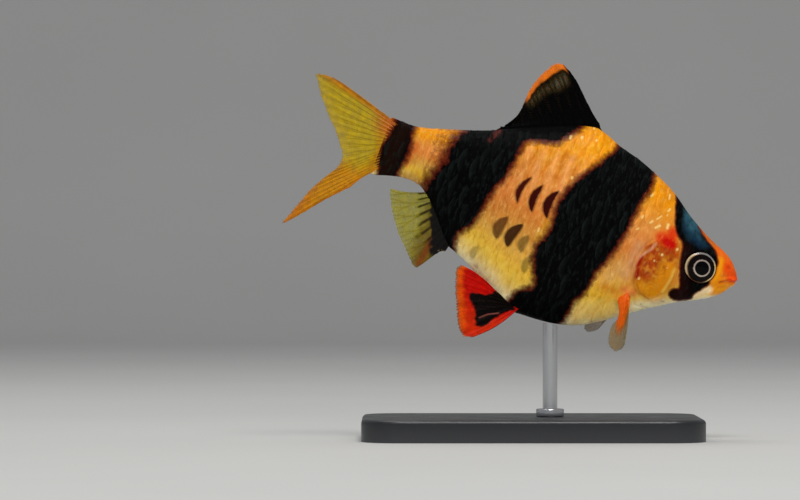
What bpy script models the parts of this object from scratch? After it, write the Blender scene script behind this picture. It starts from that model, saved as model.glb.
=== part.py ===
"""A life-size tiger barb, swimming nose down, held by one rod over a plain flat base.

The fish is modelled level in its own space: +X to the snout, +Z to the back, the right flank at -Y,
with the snout tip at the origin. An empty then tips it nose down and sets it over the base, whose
underside has its middle at the part's origin.
Outlines are in shares of two driving sizes, the standard length and the body depth.
"""

import math

import bmesh
import bpy
import numpy as np
from mathutils import Matrix, Vector

MM = 0.001

# Driving sizes
STANDARD_LENGTH = 50.0 * MM
BODY_DEPTH = 27.1 * MM
BODY_WIDTH = 10.2 * MM
EYE_DIAMETER = 4.3 * MM
PITCH = math.radians(20.0)
GAP = 0.3 * MM
# Across a slanted cut the gap is set along the fish, so it is a little wider than the gap across the cut
SLANTED_GAP = 1.15 * GAP
# How far a fin that lies along the body keeps from it
FIN_STANDOFF = 1.4 * GAP

LENGTH_PERCENT = STANDARD_LENGTH / 100
DEPTH_PERCENT = BODY_DEPTH / 100

# The body's outline from the side: along in percent of length, top and bottom in percent of depth,
# and the half width in percent of the widest half width
SNOUT_START = -0.5
TAIL_STEM_END = 101.0
PROFILE = (
    (-0.5, -2.9, -2.9, 0),
    (0.0, 0.4, -5.7, 15),
    (0.8, 2.3, -7.9, 24),
    (2.0, 4.8, -10.9, 33),
    (4.0, 7.6, -14.2, 43),
    (7.0, 10.2, -17.7, 53),
    (10.0, 12.6, -20.5, 61),
    (14.0, 16.4, -24.4, 70),
    (18.0, 20.8, -29.3, 79),
    (22.0, 26.2, -34.1, 86),
    (26.0, 30.5, -39.5, 91),
    (30.0, 33.8, -44.6, 95),
    (36.0, 37.9, -50.9, 99),
    (42.0, 41.0, -53.9, 100),
    (48.0, 44.6, -55.1, 98),
    (54.0, 42.6, -54.4, 93),
    (60.0, 38.7, -50.2, 85),
    (66.0, 34.0, -44.3, 74),
    (72.0, 29.0, -38.4, 62),
    (75.2, 26.5, -35.8, 56),
    (80.0, 23.2, -26.6, 47),
    (84.0, 20.8, -18.5, 41),
    (87.0, 19.2, -13.7, 37),
    (90.0, 17.5, -11.5, 34),
    (94.0, 15.6, -11.3, 31),
    (97.0, 15.0, -12.4, 28),
    (101.0, 15.3, -14.6, 23),
)

# The section's shape: along, the widest point's share of the height, and how full the section is
# above and below it, where 2 is an ellipse, less is a keel and more is a rounded box
SECTIONS = (
    (-0.5, 0.50, 2.0, 2.0),
    (4.0, 0.50, 2.3, 2.2),
    (14.0, 0.49, 2.3, 2.1),
    (24.0, 0.47, 2.0, 2.1),
    (36.0, 0.45, 1.8, 2.1),
    (50.0, 0.45, 1.7, 2.1),
    (62.0, 0.47, 1.7, 1.9),
    (76.0, 0.52, 1.8, 1.65),
    (88.0, 0.50, 1.9, 1.8),
    (101.0, 0.50, 2.0, 2.0),
)

FLESH_RINGS = 60
FLESH_SIDES = 36
RING_CROWDING = 1.6
NORMAL_STEP = 0.02
DEEPEST_SHARE = 0.6

# The tail swings a little to the left, away from the seen flank, from this share of the length back
SWING_START = 42.0
SWING_AT_TAIL = 1.6 * MM

# Eyes
EYE_ALONG = 10.0
EYE_HEIGHT = -3.0
EYE_TURN = math.radians(13.0)
EYE_BULGE = 0.33 * EYE_DIAMETER
EYE_SINK = 0.165 * EYE_DIAMETER
EYE_SEGMENTS = 24
EYE_RINGS = 12

# Mouth: the slit falls from the snout tip to its corner. The jaw's back edge goes on down to the throat
MOUTH_TIP_HEIGHT = -3.5
MOUTH_CORNER = (3.8, -6.6)
JAW_BACK = ((6.0, -12.5), (8.0, -26.0))
LIP_RADIUS = 0.34 * MM
LIP_RISE = 0.36 * MM
LIP_POINTS = 17
LIP_TAPER = 0.6
LIP_SEARCH = 400
PAST_SNOUT = SNOUT_START - 4.0
MOUTH_OPENING_HEIGHT = MOUTH_TIP_HEIGHT + 2.5

# Nostrils: two pits on each side with a flap standing between them
NOSTRIL_PITS = ((4.3, 6.4), (6.3, 7.9))
NOSTRIL_FLAP = (5.3, 7.4)
PIT_RADIUS = 0.34 * MM
FLAP_SIZE = (0.26 * MM, 0.42 * MM, 0.5 * MM)
BEAD_SEGMENTS = 12
BEAD_RINGS = 8

# Gill covers: plates that stand a little proud of the head
GILL_COVER = (
    (16.4, 3.3),
    (20.4, 6.3),
    (24.4, 1.5),
    (26.6, -7.4),
    (26.8, -14.8),
    (25.4, -22.1),
    (22.4, -26.2),
    (18.8, -25.5),
    (16.6, -21.4),
    (15.8, -11.1),
)
GILL_POINTS = 40
GILL_PROUD = 0.22 * MM
GILL_DEPTH = 0.75 * MM

# The head's back edge, from over the nape to under the throat
HEAD_BACK = (
    (20.6, 36.0),
    (21.6, 18.0),
    (23.0, 8.0),
    (25.0, 0.0),
    (26.0, -7.4),
    (26.1, -14.8),
    (24.6, -24.0),
    (21.6, -30.0),
    (18.0, -40.0),
)
TORSO_END = 87.6
FAR = 90.0
PAST_END = 4.0

# Fins: each ray is (root's share of the fin base, its tip's place back and up from the front root),
# the tips in percent of length
DORSAL_BASE = (48.2, 73.4)
DORSAL_RAYS = (
    (0.00, 1.6, 1.4),
    (0.04, 5.8, 5.2),
    (0.09, 10.8, 10.1),
    (0.15, 15.4, 12.9),
    (0.25, 17.7, 12.3),
    (0.36, 19.3, 9.8),
    (0.47, 20.7, 7.0),
    (0.58, 21.5, 4.0),
    (0.69, 21.8, 1.0),
    (0.80, 21.9, -2.0),
    (0.90, 22.6, -5.0),
    (1.00, 24.6, -8.2),
)
ANAL_BASE = (75.6, 87.0)
ANAL_RAYS = (
    (0.00, 1.6, -1.2),
    (0.07, 3.9, -3.9),
    (0.15, 6.2, -8.2),
    (0.30, 9.2, -6.2),
    (0.48, 12.8, -2.6),
    (0.66, 16.0, 1.4),
    (0.83, 18.6, 5.4),
    (1.00, 20.4, 9.6),
)
CAUDAL_INSET = 1.5 * GAP
CAUDAL_UPPER_RAYS = (
    (0.00, 8.6, 2.3),
    (0.03, 14.2, 4.4),
    (0.06, 19.4, 5.7),
    (0.10, 24.2, 5.3),
    (0.19, 23.2, 2.9),
    (0.31, 21.5, 0.4),
    (0.43, 19.4, -2.2),
    (0.55, 17.4, -4.4),
    (0.66, 15.4, -6.4),
    (0.77, 13.4, -8.6),
    (0.88, 11.6, -11.0),
    (1.00, 10.0, -13.4),
)
CAUDAL_LOWER_RAYS = (
    (0.00, 5.0, -6.6),
    (0.03, 9.6, -11.4),
    (0.06, 14.2, -16.8),
    (0.10, 18.8, -22.0),
    (0.19, 18.2, -19.2),
    (0.31, 17.0, -16.0),
    (0.43, 15.8, -12.6),
    (0.55, 14.4, -9.6),
    (0.66, 12.8, -6.8),
    (0.77, 11.2, -4.4),
    (0.88, 10.0, -2.0),
    (1.00, 9.5, 0.2),
)
PELVIC_BASE = (52.6, 57.4)
PELVIC_OUT = 1.5 * MM
PELVIC_SPLAY = 3.2 * MM
PELVIC_RAYS = (
    (0.00, 9.2, -11.0),
    (0.12, 11.6, -11.3),
    (0.24, 13.8, -8.8),
    (0.37, 15.4, -5.2),
    (0.50, 16.6, -2.5),
    (0.62, 17.6, 0.0),
    (0.75, 18.4, 2.4),
    (0.87, 19.0, 4.7),
    (1.00, 18.2, 6.4),
)
# The pectoral fins stand out from the breast, seen nearly edge on. Each ray is
# (root's share, its tip's place back, out and up from the root's middle), in percent of length
PECTORAL_ROOT = ((26.2, -27.3), (28.2, -32.1))
PECTORAL_RAYS = (
    (0.00, -3.5, 12.4, -10.6),
    (0.12, -4.1, 11.2, -12.2),
    (0.25, -3.7, 9.6, -13.6),
    (0.37, -2.7, 8.0, -14.4),
    (0.50, -1.5, 6.4, -14.2),
    (0.62, -0.5, 5.0, -13.2),
    (0.75, 0.1, 3.8, -11.6),
    (0.87, 0.3, 2.8, -9.8),
    (1.00, 0.3, 2.0, -8.0),
)
LEFT_PECTORAL_SWEEP = 0.5
LEFT_PECTORAL_DROP = 0.84

# How far each ray's middle is pushed back, left and up, at the first ray and at the last
DORSAL_BOW = ((0.0, 0.0, 0.3), (-0.4, 0.6, 0.0))
ANAL_BOW = ((-0.4, 0.0, -0.6), (0.0, 0.8, -0.5))
CAUDAL_UPPER_BOW = ((0.0, 0.0, 0.2), (0.0, 0.8, -0.2))
CAUDAL_LOWER_BOW = ((0.3, 0.0, 0.3), (0.0, 0.8, -0.2))
PELVIC_BOW = ((-0.6, -0.8, -0.5), (0.6, -1.6, -0.6))
PECTORAL_BOW = ((-0.3, -0.6, 0.3), (-1.3, 0.0, -0.3))

DORSAL_ROOT_THICKNESS = 0.9 * MM
ANAL_ROOT_THICKNESS = 0.8 * MM
CAUDAL_ROOT_THICKNESS = 1.2 * MM
PAIRED_ROOT_THICKNESS = 0.55 * MM
WEB_THICKNESS = 0.5 * MM
RAY_RISE = 0.28 * MM
# At the margin the fin has lost this share of its thickness, and a ray this share of its rise
MARGIN_LOSS = 0.25
RAY_FADE = 0.75
FLARE_POWER = 4
WEB_SCALLOP = 0.97
RAY_FOOT = 0.25
FIN_ROWS = (0.0, 0.08, 0.3, 0.55, 0.8, 1.0)

# Stand
BASE_SIZE = (46.0 * MM, 28.0 * MM, 3.0 * MM)
ROD_PLACE = 2.5 * MM
BASE_CORNER = 5.0 * MM
BASE_EDGE = 0.6 * MM
CORNER_SEGMENTS = 8
EDGE_SEGMENTS = 3
FIN_CLEARANCE = 9.5 * MM
ROD_ALONG = 43.0
ROD_RADIUS = 1.0 * MM
ROD_SEAT = 1.6 * MM
ROD_SPARE = 3 * ROD_RADIUS
ROD_SEGMENTS = 24


def spline(places, values):
    """A smooth curve through the values at the places, as a function: a natural cubic spline."""
    x = np.array(places, float)
    y = np.array(values, float)
    step = np.diff(x)
    count = len(x)
    system = np.eye(count)
    turn = np.zeros(count)
    for i in range(1, count - 1):
        system[i, i - 1] = step[i - 1]
        system[i, i] = 2 * (step[i - 1] + step[i])
        system[i, i + 1] = step[i]
        turn[i] = 6 * ((y[i + 1] - y[i]) / step[i] - (y[i] - y[i - 1]) / step[i - 1])
    curve = np.linalg.solve(system, turn)

    def at(place):
        p = np.clip(place, x[0], x[-1])
        i = np.clip(np.searchsorted(x, p) - 1, 0, count - 2)
        left = p - x[i]
        right = x[i + 1] - p
        width = step[i]
        return (
            (curve[i] * right**3 + curve[i + 1] * left**3) / (6 * width)
            + (y[i] / width - curve[i] * width / 6) * right
            + (y[i + 1] / width - curve[i + 1] * width / 6) * left
        )

    return at


def from_snout(along):
    """The square root of the distance from the snout tip, which makes the outline blunt there."""
    return np.sqrt(np.maximum(np.asarray(along, float) - SNOUT_START, 0.0))


PROFILE_COLUMNS = np.array(PROFILE).T
SECTION_COLUMNS = np.array(SECTIONS).T
PROFILE_PLACES = from_snout(PROFILE_COLUMNS[0])
TOP = spline(PROFILE_PLACES, PROFILE_COLUMNS[1] * DEPTH_PERCENT)
BOTTOM = spline(PROFILE_PLACES, PROFILE_COLUMNS[2] * DEPTH_PERCENT)
HALF_WIDTH = spline(PROFILE_PLACES, PROFILE_COLUMNS[3] / 100 * BODY_WIDTH / 2)
WIDEST, TOP_FULLNESS, BOTTOM_FULLNESS = (
    spline(SECTION_COLUMNS[0], column) for column in SECTION_COLUMNS[1:]
)


def section(along):
    """The top, bottom, widest height and half width of the body at a place along it."""
    s = from_snout(along)
    top = TOP(s)
    bottom = BOTTOM(s)
    level = bottom + WIDEST(along) * (top - bottom)
    return top, bottom, level, np.maximum(HALF_WIDTH(s), 0.0)


def skin(along, turn):
    """Points of the body's surface. A turn of 0 is the right flank, and a quarter turn is the back."""
    along, turn = np.broadcast_arrays(np.asarray(along, float), np.asarray(turn, float))
    top, bottom, level, half = section(along)
    rise = np.sin(turn)
    out = np.cos(turn)
    above = rise >= 0
    power = 2 / np.where(above, TOP_FULLNESS(along), BOTTOM_FULLNESS(along))
    reach = np.where(above, top - level, level - bottom)
    y = -half * np.sign(out) * np.abs(out) ** power
    z = level + reach * np.sign(rise) * np.abs(rise) ** power
    return np.stack([-along * LENGTH_PERCENT, y, z], axis=-1)


def skin_normal(along, turn):
    """The way the surface faces, from points just beside the place."""
    step = NORMAL_STEP
    place = np.maximum(along, SNOUT_START + 2 * step)
    lengthwise = skin(place + step, turn) - skin(place - step, turn)
    around = skin(place, turn + step) - skin(place, turn - step)
    normal = np.cross(around, lengthwise)
    return normal / np.maximum(np.linalg.norm(normal, axis=-1, keepdims=True), 1e-12)


def flank_turn(along, height):
    """The turn at which the right flank has this height."""
    top, bottom, level, _ = section(along)
    above = height >= level
    power = np.where(above, TOP_FULLNESS(along), BOTTOM_FULLNESS(along)) / 2
    reach = np.maximum(np.where(above, top - level, level - bottom), 1e-9)
    turn = np.arcsin(np.clip(np.abs(height - level) / reach, 0.0, 1.0) ** power)
    return np.where(above, turn, -turn)


def flank_point(along, height_percent, outward=0.0):
    """A point on the right flank at a place given in percent, moved outward by a distance."""
    turn = float(flank_turn(along, height_percent * DEPTH_PERCENT))
    return Vector(skin(along, turn) + outward * skin_normal(along, turn))


def swing(points):
    """Moves points to the left as the swimming tail does, more the farther back they are."""
    back = np.maximum(-points[:, 0] / LENGTH_PERCENT - SWING_START, 0.0)
    moved = points.copy()
    moved[:, 1] += SWING_AT_TAIL * (back / (TAIL_STEM_END - SWING_START)) ** 2
    return moved


def clear_scene():
    """Removes what the scene holds at the start."""
    for obj in list(bpy.data.objects):
        bpy.data.objects.remove(obj)


def new_collection(name, hidden=False):
    """A collection of the scene, hidden from renders where it holds cutters."""
    collection = bpy.data.collections.new(name)
    bpy.context.scene.collection.children.link(collection)
    collection.hide_render = hidden
    return collection


def paint(name, colour, roughness, metallic=0.0):
    """A plain material."""
    material = bpy.data.materials.new(name)
    material.use_nodes = True
    shader = material.node_tree.nodes["Principled BSDF"]
    shader.inputs["Base Color"].default_value = (*colour, 1.0)
    shader.inputs["Roughness"].default_value = roughness
    shader.inputs["Metallic"].default_value = metallic
    return material


def object_from(name, mesh, collection, material=None):
    """A named object in a collection, smooth but for its sharp edges."""
    obj = bpy.data.objects.new(name, mesh)
    collection.objects.link(obj)
    if material:
        mesh.materials.clear()
        mesh.materials.append(material)
    mesh.shade_smooth()
    mesh.set_sharp_from_angle(angle=math.radians(40))
    return obj


def as_cutter(obj):
    """Marks a helper that only cuts or joins."""
    obj.hide_render = True
    obj.display_type = "WIRE"
    return obj


def read_points(mesh):
    """The mesh's points as an array."""
    flat = np.empty(len(mesh.vertices) * 3, np.float32)
    mesh.vertices.foreach_get("co", flat)
    return flat.reshape(-1, 3).astype(float)


def move_points(mesh, points):
    """Puts the mesh's points in new places."""
    mesh.vertices.foreach_set("co", points.astype(np.float32).ravel())
    mesh.update()


def flesh(name, collection, swell=0.0):
    """The whole body as one closed surface: a sphere drawn out to the outline, swollen by a distance.

    A swelling below zero shrinks it, at most by a share of the local half width, so that it never folds.
    """
    bm = bmesh.new()
    bmesh.ops.create_uvsphere(bm, u_segments=FLESH_SIDES, v_segments=FLESH_RINGS, radius=1.0)
    mesh = bpy.data.meshes.new(name)
    bm.to_mesh(mesh)
    bm.free()
    ball = read_points(mesh)
    share = np.arccos(np.clip(ball[:, 2], -1.0, 1.0)) / math.pi
    share = np.minimum(share / (1 - 1 / FLESH_RINGS), 1.0)
    along = SNOUT_START + (TAIL_STEM_END - SNOUT_START) * share**RING_CROWDING
    turn = np.arctan2(ball[:, 1], ball[:, 0])
    points = skin(along, turn)
    poles = np.hypot(ball[:, 0], ball[:, 1]) < 1e-6
    ends = poles & (share > 0.5)
    points[ends, 2] = np.mean(section(TAIL_STEM_END)[:2])
    points[ends, 1] = 0.0
    move_points(mesh, points)
    bm = bmesh.new()
    bm.from_mesh(mesh)
    bmesh.ops.recalc_face_normals(bm, faces=bm.faces)
    bm.to_mesh(mesh)
    bm.free()
    facing = skin_normal(along, turn)
    facing[poles] = (1.0, 0.0, 0.0)
    facing[ends] = 0.0
    room = -DEEPEST_SHARE * section(along)[3]
    move_points(mesh, points + np.maximum(swell, room)[:, None] * facing)
    return as_cutter(object_from(name, mesh, collection))


def mesh_of(obj, name):
    """A mesh of what the object shows, with its modifiers and its place applied, and its caps welded."""
    bpy.context.view_layer.update()
    graph = bpy.context.evaluated_depsgraph_get()
    mesh = bpy.data.meshes.new_from_object(obj.evaluated_get(graph))
    mesh.name = name
    mesh.transform(obj.matrix_world)
    bm = bmesh.new()
    bm.from_mesh(mesh)
    bmesh.ops.remove_doubles(bm, verts=bm.verts, dist=1e-7)
    bm.to_mesh(mesh)
    bm.free()
    return mesh


def slab(name, outline, half_depth, collection):
    """A flat outline in the side view, as a closed slab across the fish that cuts or keeps."""
    curve = bpy.data.curves.new(name, "CURVE")
    curve.dimensions = "2D"
    curve.fill_mode = "BOTH"
    curve.extrude = half_depth
    line = curve.splines.new("POLY")
    line.points.add(len(outline) - 1)
    for point, (x, z) in zip(line.points, outline):
        point.co = (x, z, 0.0, 1.0)
    line.use_cyclic_u = True
    guide = bpy.data.objects.new(name, curve)
    guide.rotation_euler = (math.radians(90), 0.0, 0.0)
    collection.objects.link(guide)
    mesh = mesh_of(guide, name)
    bpy.data.objects.remove(guide)
    return as_cutter(object_from(name, mesh, collection))


def tube(name, points, radius, taper, collection):
    """A bent round bar along points, as a closed mesh, thinner towards its ends by the taper's share."""
    curve = bpy.data.curves.new(name, "CURVE")
    curve.dimensions = "3D"
    curve.bevel_depth = radius
    curve.bevel_resolution = 2
    curve.use_fill_caps = True
    line = curve.splines.new("POLY")
    line.points.add(len(points) - 1)
    ends = np.abs(np.linspace(-1.0, 1.0, len(points))) ** 3
    for spot, place, end in zip(line.points, points, ends):
        spot.co = (*place, 1.0)
        spot.radius = 1 - taper * end
    guide = bpy.data.objects.new(name, curve)
    collection.objects.link(guide)
    mesh = mesh_of(guide, name)
    bpy.data.objects.remove(guide)
    return as_cutter(object_from(name, mesh, collection))


def ball(name, centre, sizes, collection, turn, segments, rings):
    """An oval ball with its poles along its own Z, turned by a matrix where one is given."""
    bm = bmesh.new()
    bmesh.ops.create_uvsphere(bm, u_segments=segments, v_segments=rings, radius=1.0)
    mesh = bpy.data.meshes.new(name)
    bm.to_mesh(mesh)
    bm.free()
    place = Matrix.Translation(centre) @ (turn or Matrix.Identity(4)) @ Matrix.Diagonal((*sizes, 1.0))
    mesh.transform(place)
    return as_cutter(object_from(name, mesh, collection))


def combine(obj, operation, others):
    """Adds a Boolean of the object with each of the others."""
    for other in others:
        step = obj.modifiers.new(f"{operation.lower()}_{other.name}", "BOOLEAN")
        step.operation = operation
        step.solver = "EXACT"
        step.object = other


def keep_largest(mesh):
    """Drops every closed surface of the mesh but the largest."""
    bm = bmesh.new()
    bm.from_mesh(mesh)
    left = set(bm.faces)
    groups = []
    while left:
        group = {left.pop()}
        front = list(group)
        while front:
            face = front.pop()
            beside = {other for edge in face.edges for other in edge.link_faces} & left
            left -= beside
            group |= beside
            front += beside
        groups.append(group)
    groups.sort(key=len)
    spare = [face for group in groups[:-1] for face in group]
    bmesh.ops.delete(bm, geom=spare, context="FACES")
    bmesh.ops.triangulate(bm, faces=bm.faces)
    bm.to_mesh(mesh)
    bm.free()


def finish_flesh(name, whole, keep, cut, collection, material):
    """One named piece of the body: the whole, kept inside a region, less the cutters, swung with the tail."""
    piece = bpy.data.objects.new(name, whole.data.copy())
    collection.objects.link(piece)
    combine(piece, "INTERSECT", keep)
    combine(piece, "DIFFERENCE", cut)
    mesh = mesh_of(piece, name)
    bpy.data.objects.remove(piece)
    keep_largest(mesh)
    move_points(mesh, swing(read_points(mesh)))
    return object_from(name, mesh, collection, material)


def side_view(points):
    """Points in percent, as places in the side view."""
    return [(-along * LENGTH_PERCENT, height * DEPTH_PERCENT) for along, height in points]


def closed_curve(points, count):
    """A smooth loop through a few points of the side view."""
    loop = np.array(points + points + points[:1])
    steps = np.linalg.norm(np.diff(loop, axis=0), axis=1)
    travel = np.concatenate([[0.0], np.cumsum(steps)])
    start = travel[len(points) // 2]
    length = travel[len(points)]
    where = start + length * np.arange(count) / count
    across = spline(travel, loop[:, 0])
    up = spline(travel, loop[:, 1])
    return list(zip(across(where), up(where)))


def mirrored(obj, name, collection):
    """The same helper on the left side."""
    mesh = obj.data.copy()
    mesh.transform(Matrix.Scale(-1.0, 4, (0.0, 1.0, 0.0)))
    mesh.flip_normals()
    return as_cutter(object_from(name, mesh, collection))


def mouth_height(along):
    """The height of the mouth's slit at a place between the snout tip and its corner."""
    corner_along, corner_height = MOUTH_CORNER
    share = (along - SNOUT_START) / (corner_along - SNOUT_START)
    return (MOUTH_TIP_HEIGHT + (corner_height - MOUTH_TIP_HEIGHT) * share) * DEPTH_PERCENT


def lip(name, side, collection):
    """One lip: a bar round the snout just above the slit, where side is 1, or just below it."""
    places = np.linspace(SNOUT_START, MOUTH_CORNER[0], LIP_SEARCH)
    wanted = mouth_height(places) + side * LIP_RISE
    top, bottom, _, _ = section(places)
    start = places[(wanted < top) & (wanted > bottom)][0]
    around = np.linspace(-1.0, 1.0, LIP_POINTS)
    along = start + (MOUTH_CORNER[0] - start) * around**2
    height = mouth_height(along) + side * LIP_RISE
    turn = flank_turn(along, height)
    points = skin(along, turn)
    points[:, 1] *= -np.sign(around)
    points[LIP_POINTS // 2, 1] = 0.0
    return tube(name, points, LIP_RADIUS, LIP_TAPER, collection)


def mouth_slit(collection):
    """The cut between the lips and behind the jaw, as a thin bent slab."""
    line = side_view([(PAST_SNOUT, MOUTH_OPENING_HEIGHT), MOUTH_CORNER, *JAW_BACK])
    half = GAP / 2
    outer = [(x - half, z + half) for x, z in line]
    inner = [(x + half, z - half) for x, z in line]
    return slab("mouth_slit", outer + inner[::-1], BODY_WIDTH, collection)


def eye_frame():
    """The right eye's centre and its turn: it faces out and a little forward."""
    surface = flank_point(EYE_ALONG, EYE_HEIGHT)
    outward = Vector((math.sin(EYE_TURN), -math.cos(EYE_TURN), 0.0))
    centre = surface - outward * EYE_SINK
    return centre, outward.to_track_quat("Z", "Y").to_matrix().to_4x4()


def eye_ball(name, extra, collection):
    """The right eyeball, or its socket where it is made larger."""
    centre, turn = eye_frame()
    depth = EYE_BULGE
    rim = EYE_DIAMETER / 2 / math.sqrt(1 - (EYE_SINK / depth) ** 2)
    sizes = (rim + extra, rim + extra, depth + extra)
    return ball(name, centre, sizes, collection, turn, EYE_SEGMENTS, EYE_RINGS)


def nostril_pits(collection):
    """The cutters of the right side's pits."""
    sizes = [PIT_RADIUS] * 3
    return [
        ball(f"nostril_{i}", flank_point(*spot), sizes, collection, None, BEAD_SEGMENTS, BEAD_RINGS)
        for i, spot in enumerate(NOSTRIL_PITS)
    ]


def nostril_flap(collection):
    """The flap between the right side's pits, standing on the snout."""
    foot = flank_point(*NOSTRIL_FLAP)
    return ball("nostril_flap", foot, FLAP_SIZE, collection, None, BEAD_SEGMENTS, BEAD_RINGS)


def build_flesh(parts, helpers, paints):
    """The head, lower jaw, gill covers, torso, tail stem and eyes."""
    whole = flesh("whole_body", helpers)
    flap = nostril_flap(helpers)
    additions = [
        lip("upper_lip", 1, helpers),
        lip("lower_lip", -1, helpers),
        flap,
        mirrored(flap, "nostril_flap_left", helpers),
    ]
    combine(whole, "UNION", additions)
    joined = mesh_of(whole, "whole_body_joined")
    whole = as_cutter(object_from("whole_body_joined", joined, helpers))

    outline = closed_curve(side_view(GILL_COVER), GILL_POINTS)
    middle = np.mean(outline, axis=0)
    size = np.mean(np.linalg.norm(np.array(outline) - middle, axis=1))
    wider = [tuple(middle + (np.array(p) - middle) * (1 + GAP / size)) for p in outline]
    plate_region = slab("gill_plate_region", outline, BODY_WIDTH, helpers)
    recess_region = slab("gill_recess_region", wider, BODY_WIDTH, helpers)
    plate_surface = flesh("gill_plate_surface", helpers, GILL_PROUD)
    plate_back = flesh("gill_plate_back", helpers, -GILL_DEPTH)
    recess_back = flesh("gill_recess_back", helpers, -GILL_DEPTH - GAP)
    recess = bpy.data.objects.new("gill_recess", recess_region.data.copy())
    helpers.objects.link(recess)
    combine(recess, "DIFFERENCE", [recess_back])
    recess = as_cutter(object_from("gill_recess_cut", mesh_of(recess, "gill_recess_cut"), helpers))

    socket = eye_ball("eye_socket", GAP, helpers)
    pits = nostril_pits(helpers)
    cutters = [socket, *pits, recess]
    cutters += [mirrored(obj, f"{obj.name}_left", helpers) for obj in (socket, *pits)]
    slit = mouth_slit(helpers)

    back = side_view([(HEAD_BACK[0][0], FAR), *HEAD_BACK, (HEAD_BACK[-1][0], -FAR)])
    front_edge = side_view([(PAST_SNOUT, -FAR), (PAST_SNOUT, FAR)])
    head_region = slab("head_region", back + front_edge, BODY_WIDTH, helpers)
    torso_front = [(x - SLANTED_GAP, z) for x, z in back]
    torso_back = side_view([(TORSO_END, -FAR), (TORSO_END, FAR)])
    torso_region = slab("torso_region", torso_front + torso_back, BODY_WIDTH, helpers)
    stem_start = TORSO_END + GAP / LENGTH_PERCENT
    past_stem = TAIL_STEM_END + PAST_END
    stem_outline = [(stem_start, -FAR), (past_stem, -FAR), (past_stem, FAR), (stem_start, FAR)]
    stem_region = slab("stem_region", side_view(stem_outline), BODY_WIDTH, helpers)
    jaw_top = (PAST_SNOUT, MOUTH_OPENING_HEIGHT)
    jaw_outline = [jaw_top, MOUTH_CORNER, *JAW_BACK, (PAST_SNOUT, JAW_BACK[-1][1])]
    jaw_region = slab("jaw_region", side_view(jaw_outline), BODY_WIDTH, helpers)

    head = finish_flesh("head", whole, [head_region], [*cutters, slit, jaw_region], parts, paints["head"])
    jaw = finish_flesh("lower_jaw", whole, [jaw_region], [slit], parts, paints["jaw"])
    torso = finish_flesh("torso", whole, [torso_region], [recess], parts, paints["flank"])
    stem = finish_flesh("tail_stem", whole, [stem_region], [], parts, paints["flank"])
    pieces = [head, jaw, torso, stem]

    for side, sign in (("right", -1), ("left", 1)):
        half = side_box(f"gill_side_{side}", sign, helpers)
        plate = finish_flesh(
            f"gill_cover_{side}", plate_surface, [plate_region, half], [plate_back], parts, paints["gill"]
        )
        pieces.append(plate)

    right_eye = eye_ball("eye_right_shape", 0.0, helpers)
    left_eye = mirrored(right_eye, "eye_left_shape", helpers)
    for name, shape in (("eye_right", right_eye), ("eye_left", left_eye)):
        pieces.append(object_from(name, shape.data.copy(), parts, paints["eye"]))
    return pieces


def side_box(name, sign, collection):
    """A box over one side of the fish, where sign is -1 on the right."""
    bm = bmesh.new()
    bmesh.ops.create_cube(bm, size=1.0)
    mesh = bpy.data.meshes.new(name)
    bm.to_mesh(mesh)
    bm.free()
    place = Matrix.Translation((0.0, sign * BODY_WIDTH / 2, 0.0))
    mesh.transform(place @ Matrix.Diagonal((3 * STANDARD_LENGTH, BODY_WIDTH - GAP, 3 * BODY_DEPTH, 1.0)))
    return as_cutter(object_from(name, mesh, collection))


def fin(name, roots, tips, bow, root_thickness, collection, material):
    """A fin of rays and web: a grid from the root line to the ray tips, given its thickness by Solidify.

    roots and tips are one place for each ray, and bow is how far each ray's middle is pushed aside.
    """
    count = len(roots)
    columns = [i + part for i in range(count - 1) for part in (0.0, RAY_FOOT, 1 - RAY_FOOT)]
    columns.append(count - 1.0)
    columns = np.array(columns)
    rows = np.array(FIN_ROWS)
    order = np.arange(count)
    root_line = np.stack([np.interp(columns, order, roots[:, k]) for k in range(3)], axis=-1)
    tip_line = np.stack([np.interp(columns, order, tips[:, k]) for k in range(3)], axis=-1)
    bow_line = np.stack([np.interp(columns, order, bow[:, k]) for k in range(3)], axis=-1)
    on_ray = np.abs(columns - np.round(columns)) < 1e-6

    bm = bmesh.new()
    bmesh.ops.create_grid(bm, x_segments=len(columns) - 1, y_segments=len(rows) - 1, size=1.0)
    mesh = bpy.data.meshes.new(name)
    bmesh.ops.triangulate(bm, faces=bm.faces, quad_method="FIXED")
    bm.to_mesh(mesh)
    bm.free()
    grid = read_points(mesh)
    column = np.rint((grid[:, 0] + 1) / 2 * (len(columns) - 1)).astype(int)
    row = np.rint((grid[:, 1] + 1) / 2 * (len(rows) - 1)).astype(int)
    share = rows[row] * np.where(on_ray[column], 1.0, WEB_SCALLOP)
    share = share[:, None]
    points = root_line[column] * (1 - share) + tip_line[column] * share
    points += bow_line[column] * np.sin(math.pi * share)
    move_points(mesh, swing(points))

    thickest = root_thickness + RAY_RISE
    share = share[:, 0]
    thickness = WEB_THICKNESS + (root_thickness - WEB_THICKNESS) * (1 - share) ** FLARE_POWER
    thickness += np.where(on_ray[column], RAY_RISE * (1 - RAY_FADE * share), 0.0)
    thickness *= 1 - MARGIN_LOSS * share**FLARE_POWER

    obj = object_from(name, mesh, collection, material)
    group = obj.vertex_groups.new(name="thickness")
    for i, value in enumerate(thickness):
        group.add([i], float(value / thickest), "REPLACE")
    shell = obj.modifiers.new("thickness", "SOLIDIFY")
    shell.thickness = thickest
    shell.offset = 0.0
    shell.use_rim = True
    shell.vertex_group = "thickness"
    return obj


def median_tips(front_root, rays):
    """The ray tips of a fin in the middle plane, from the front root and the places in percent."""
    return np.array([front_root + (-back * LENGTH_PERCENT, 0.0, up * LENGTH_PERCENT) for _, back, up in rays])


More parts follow.
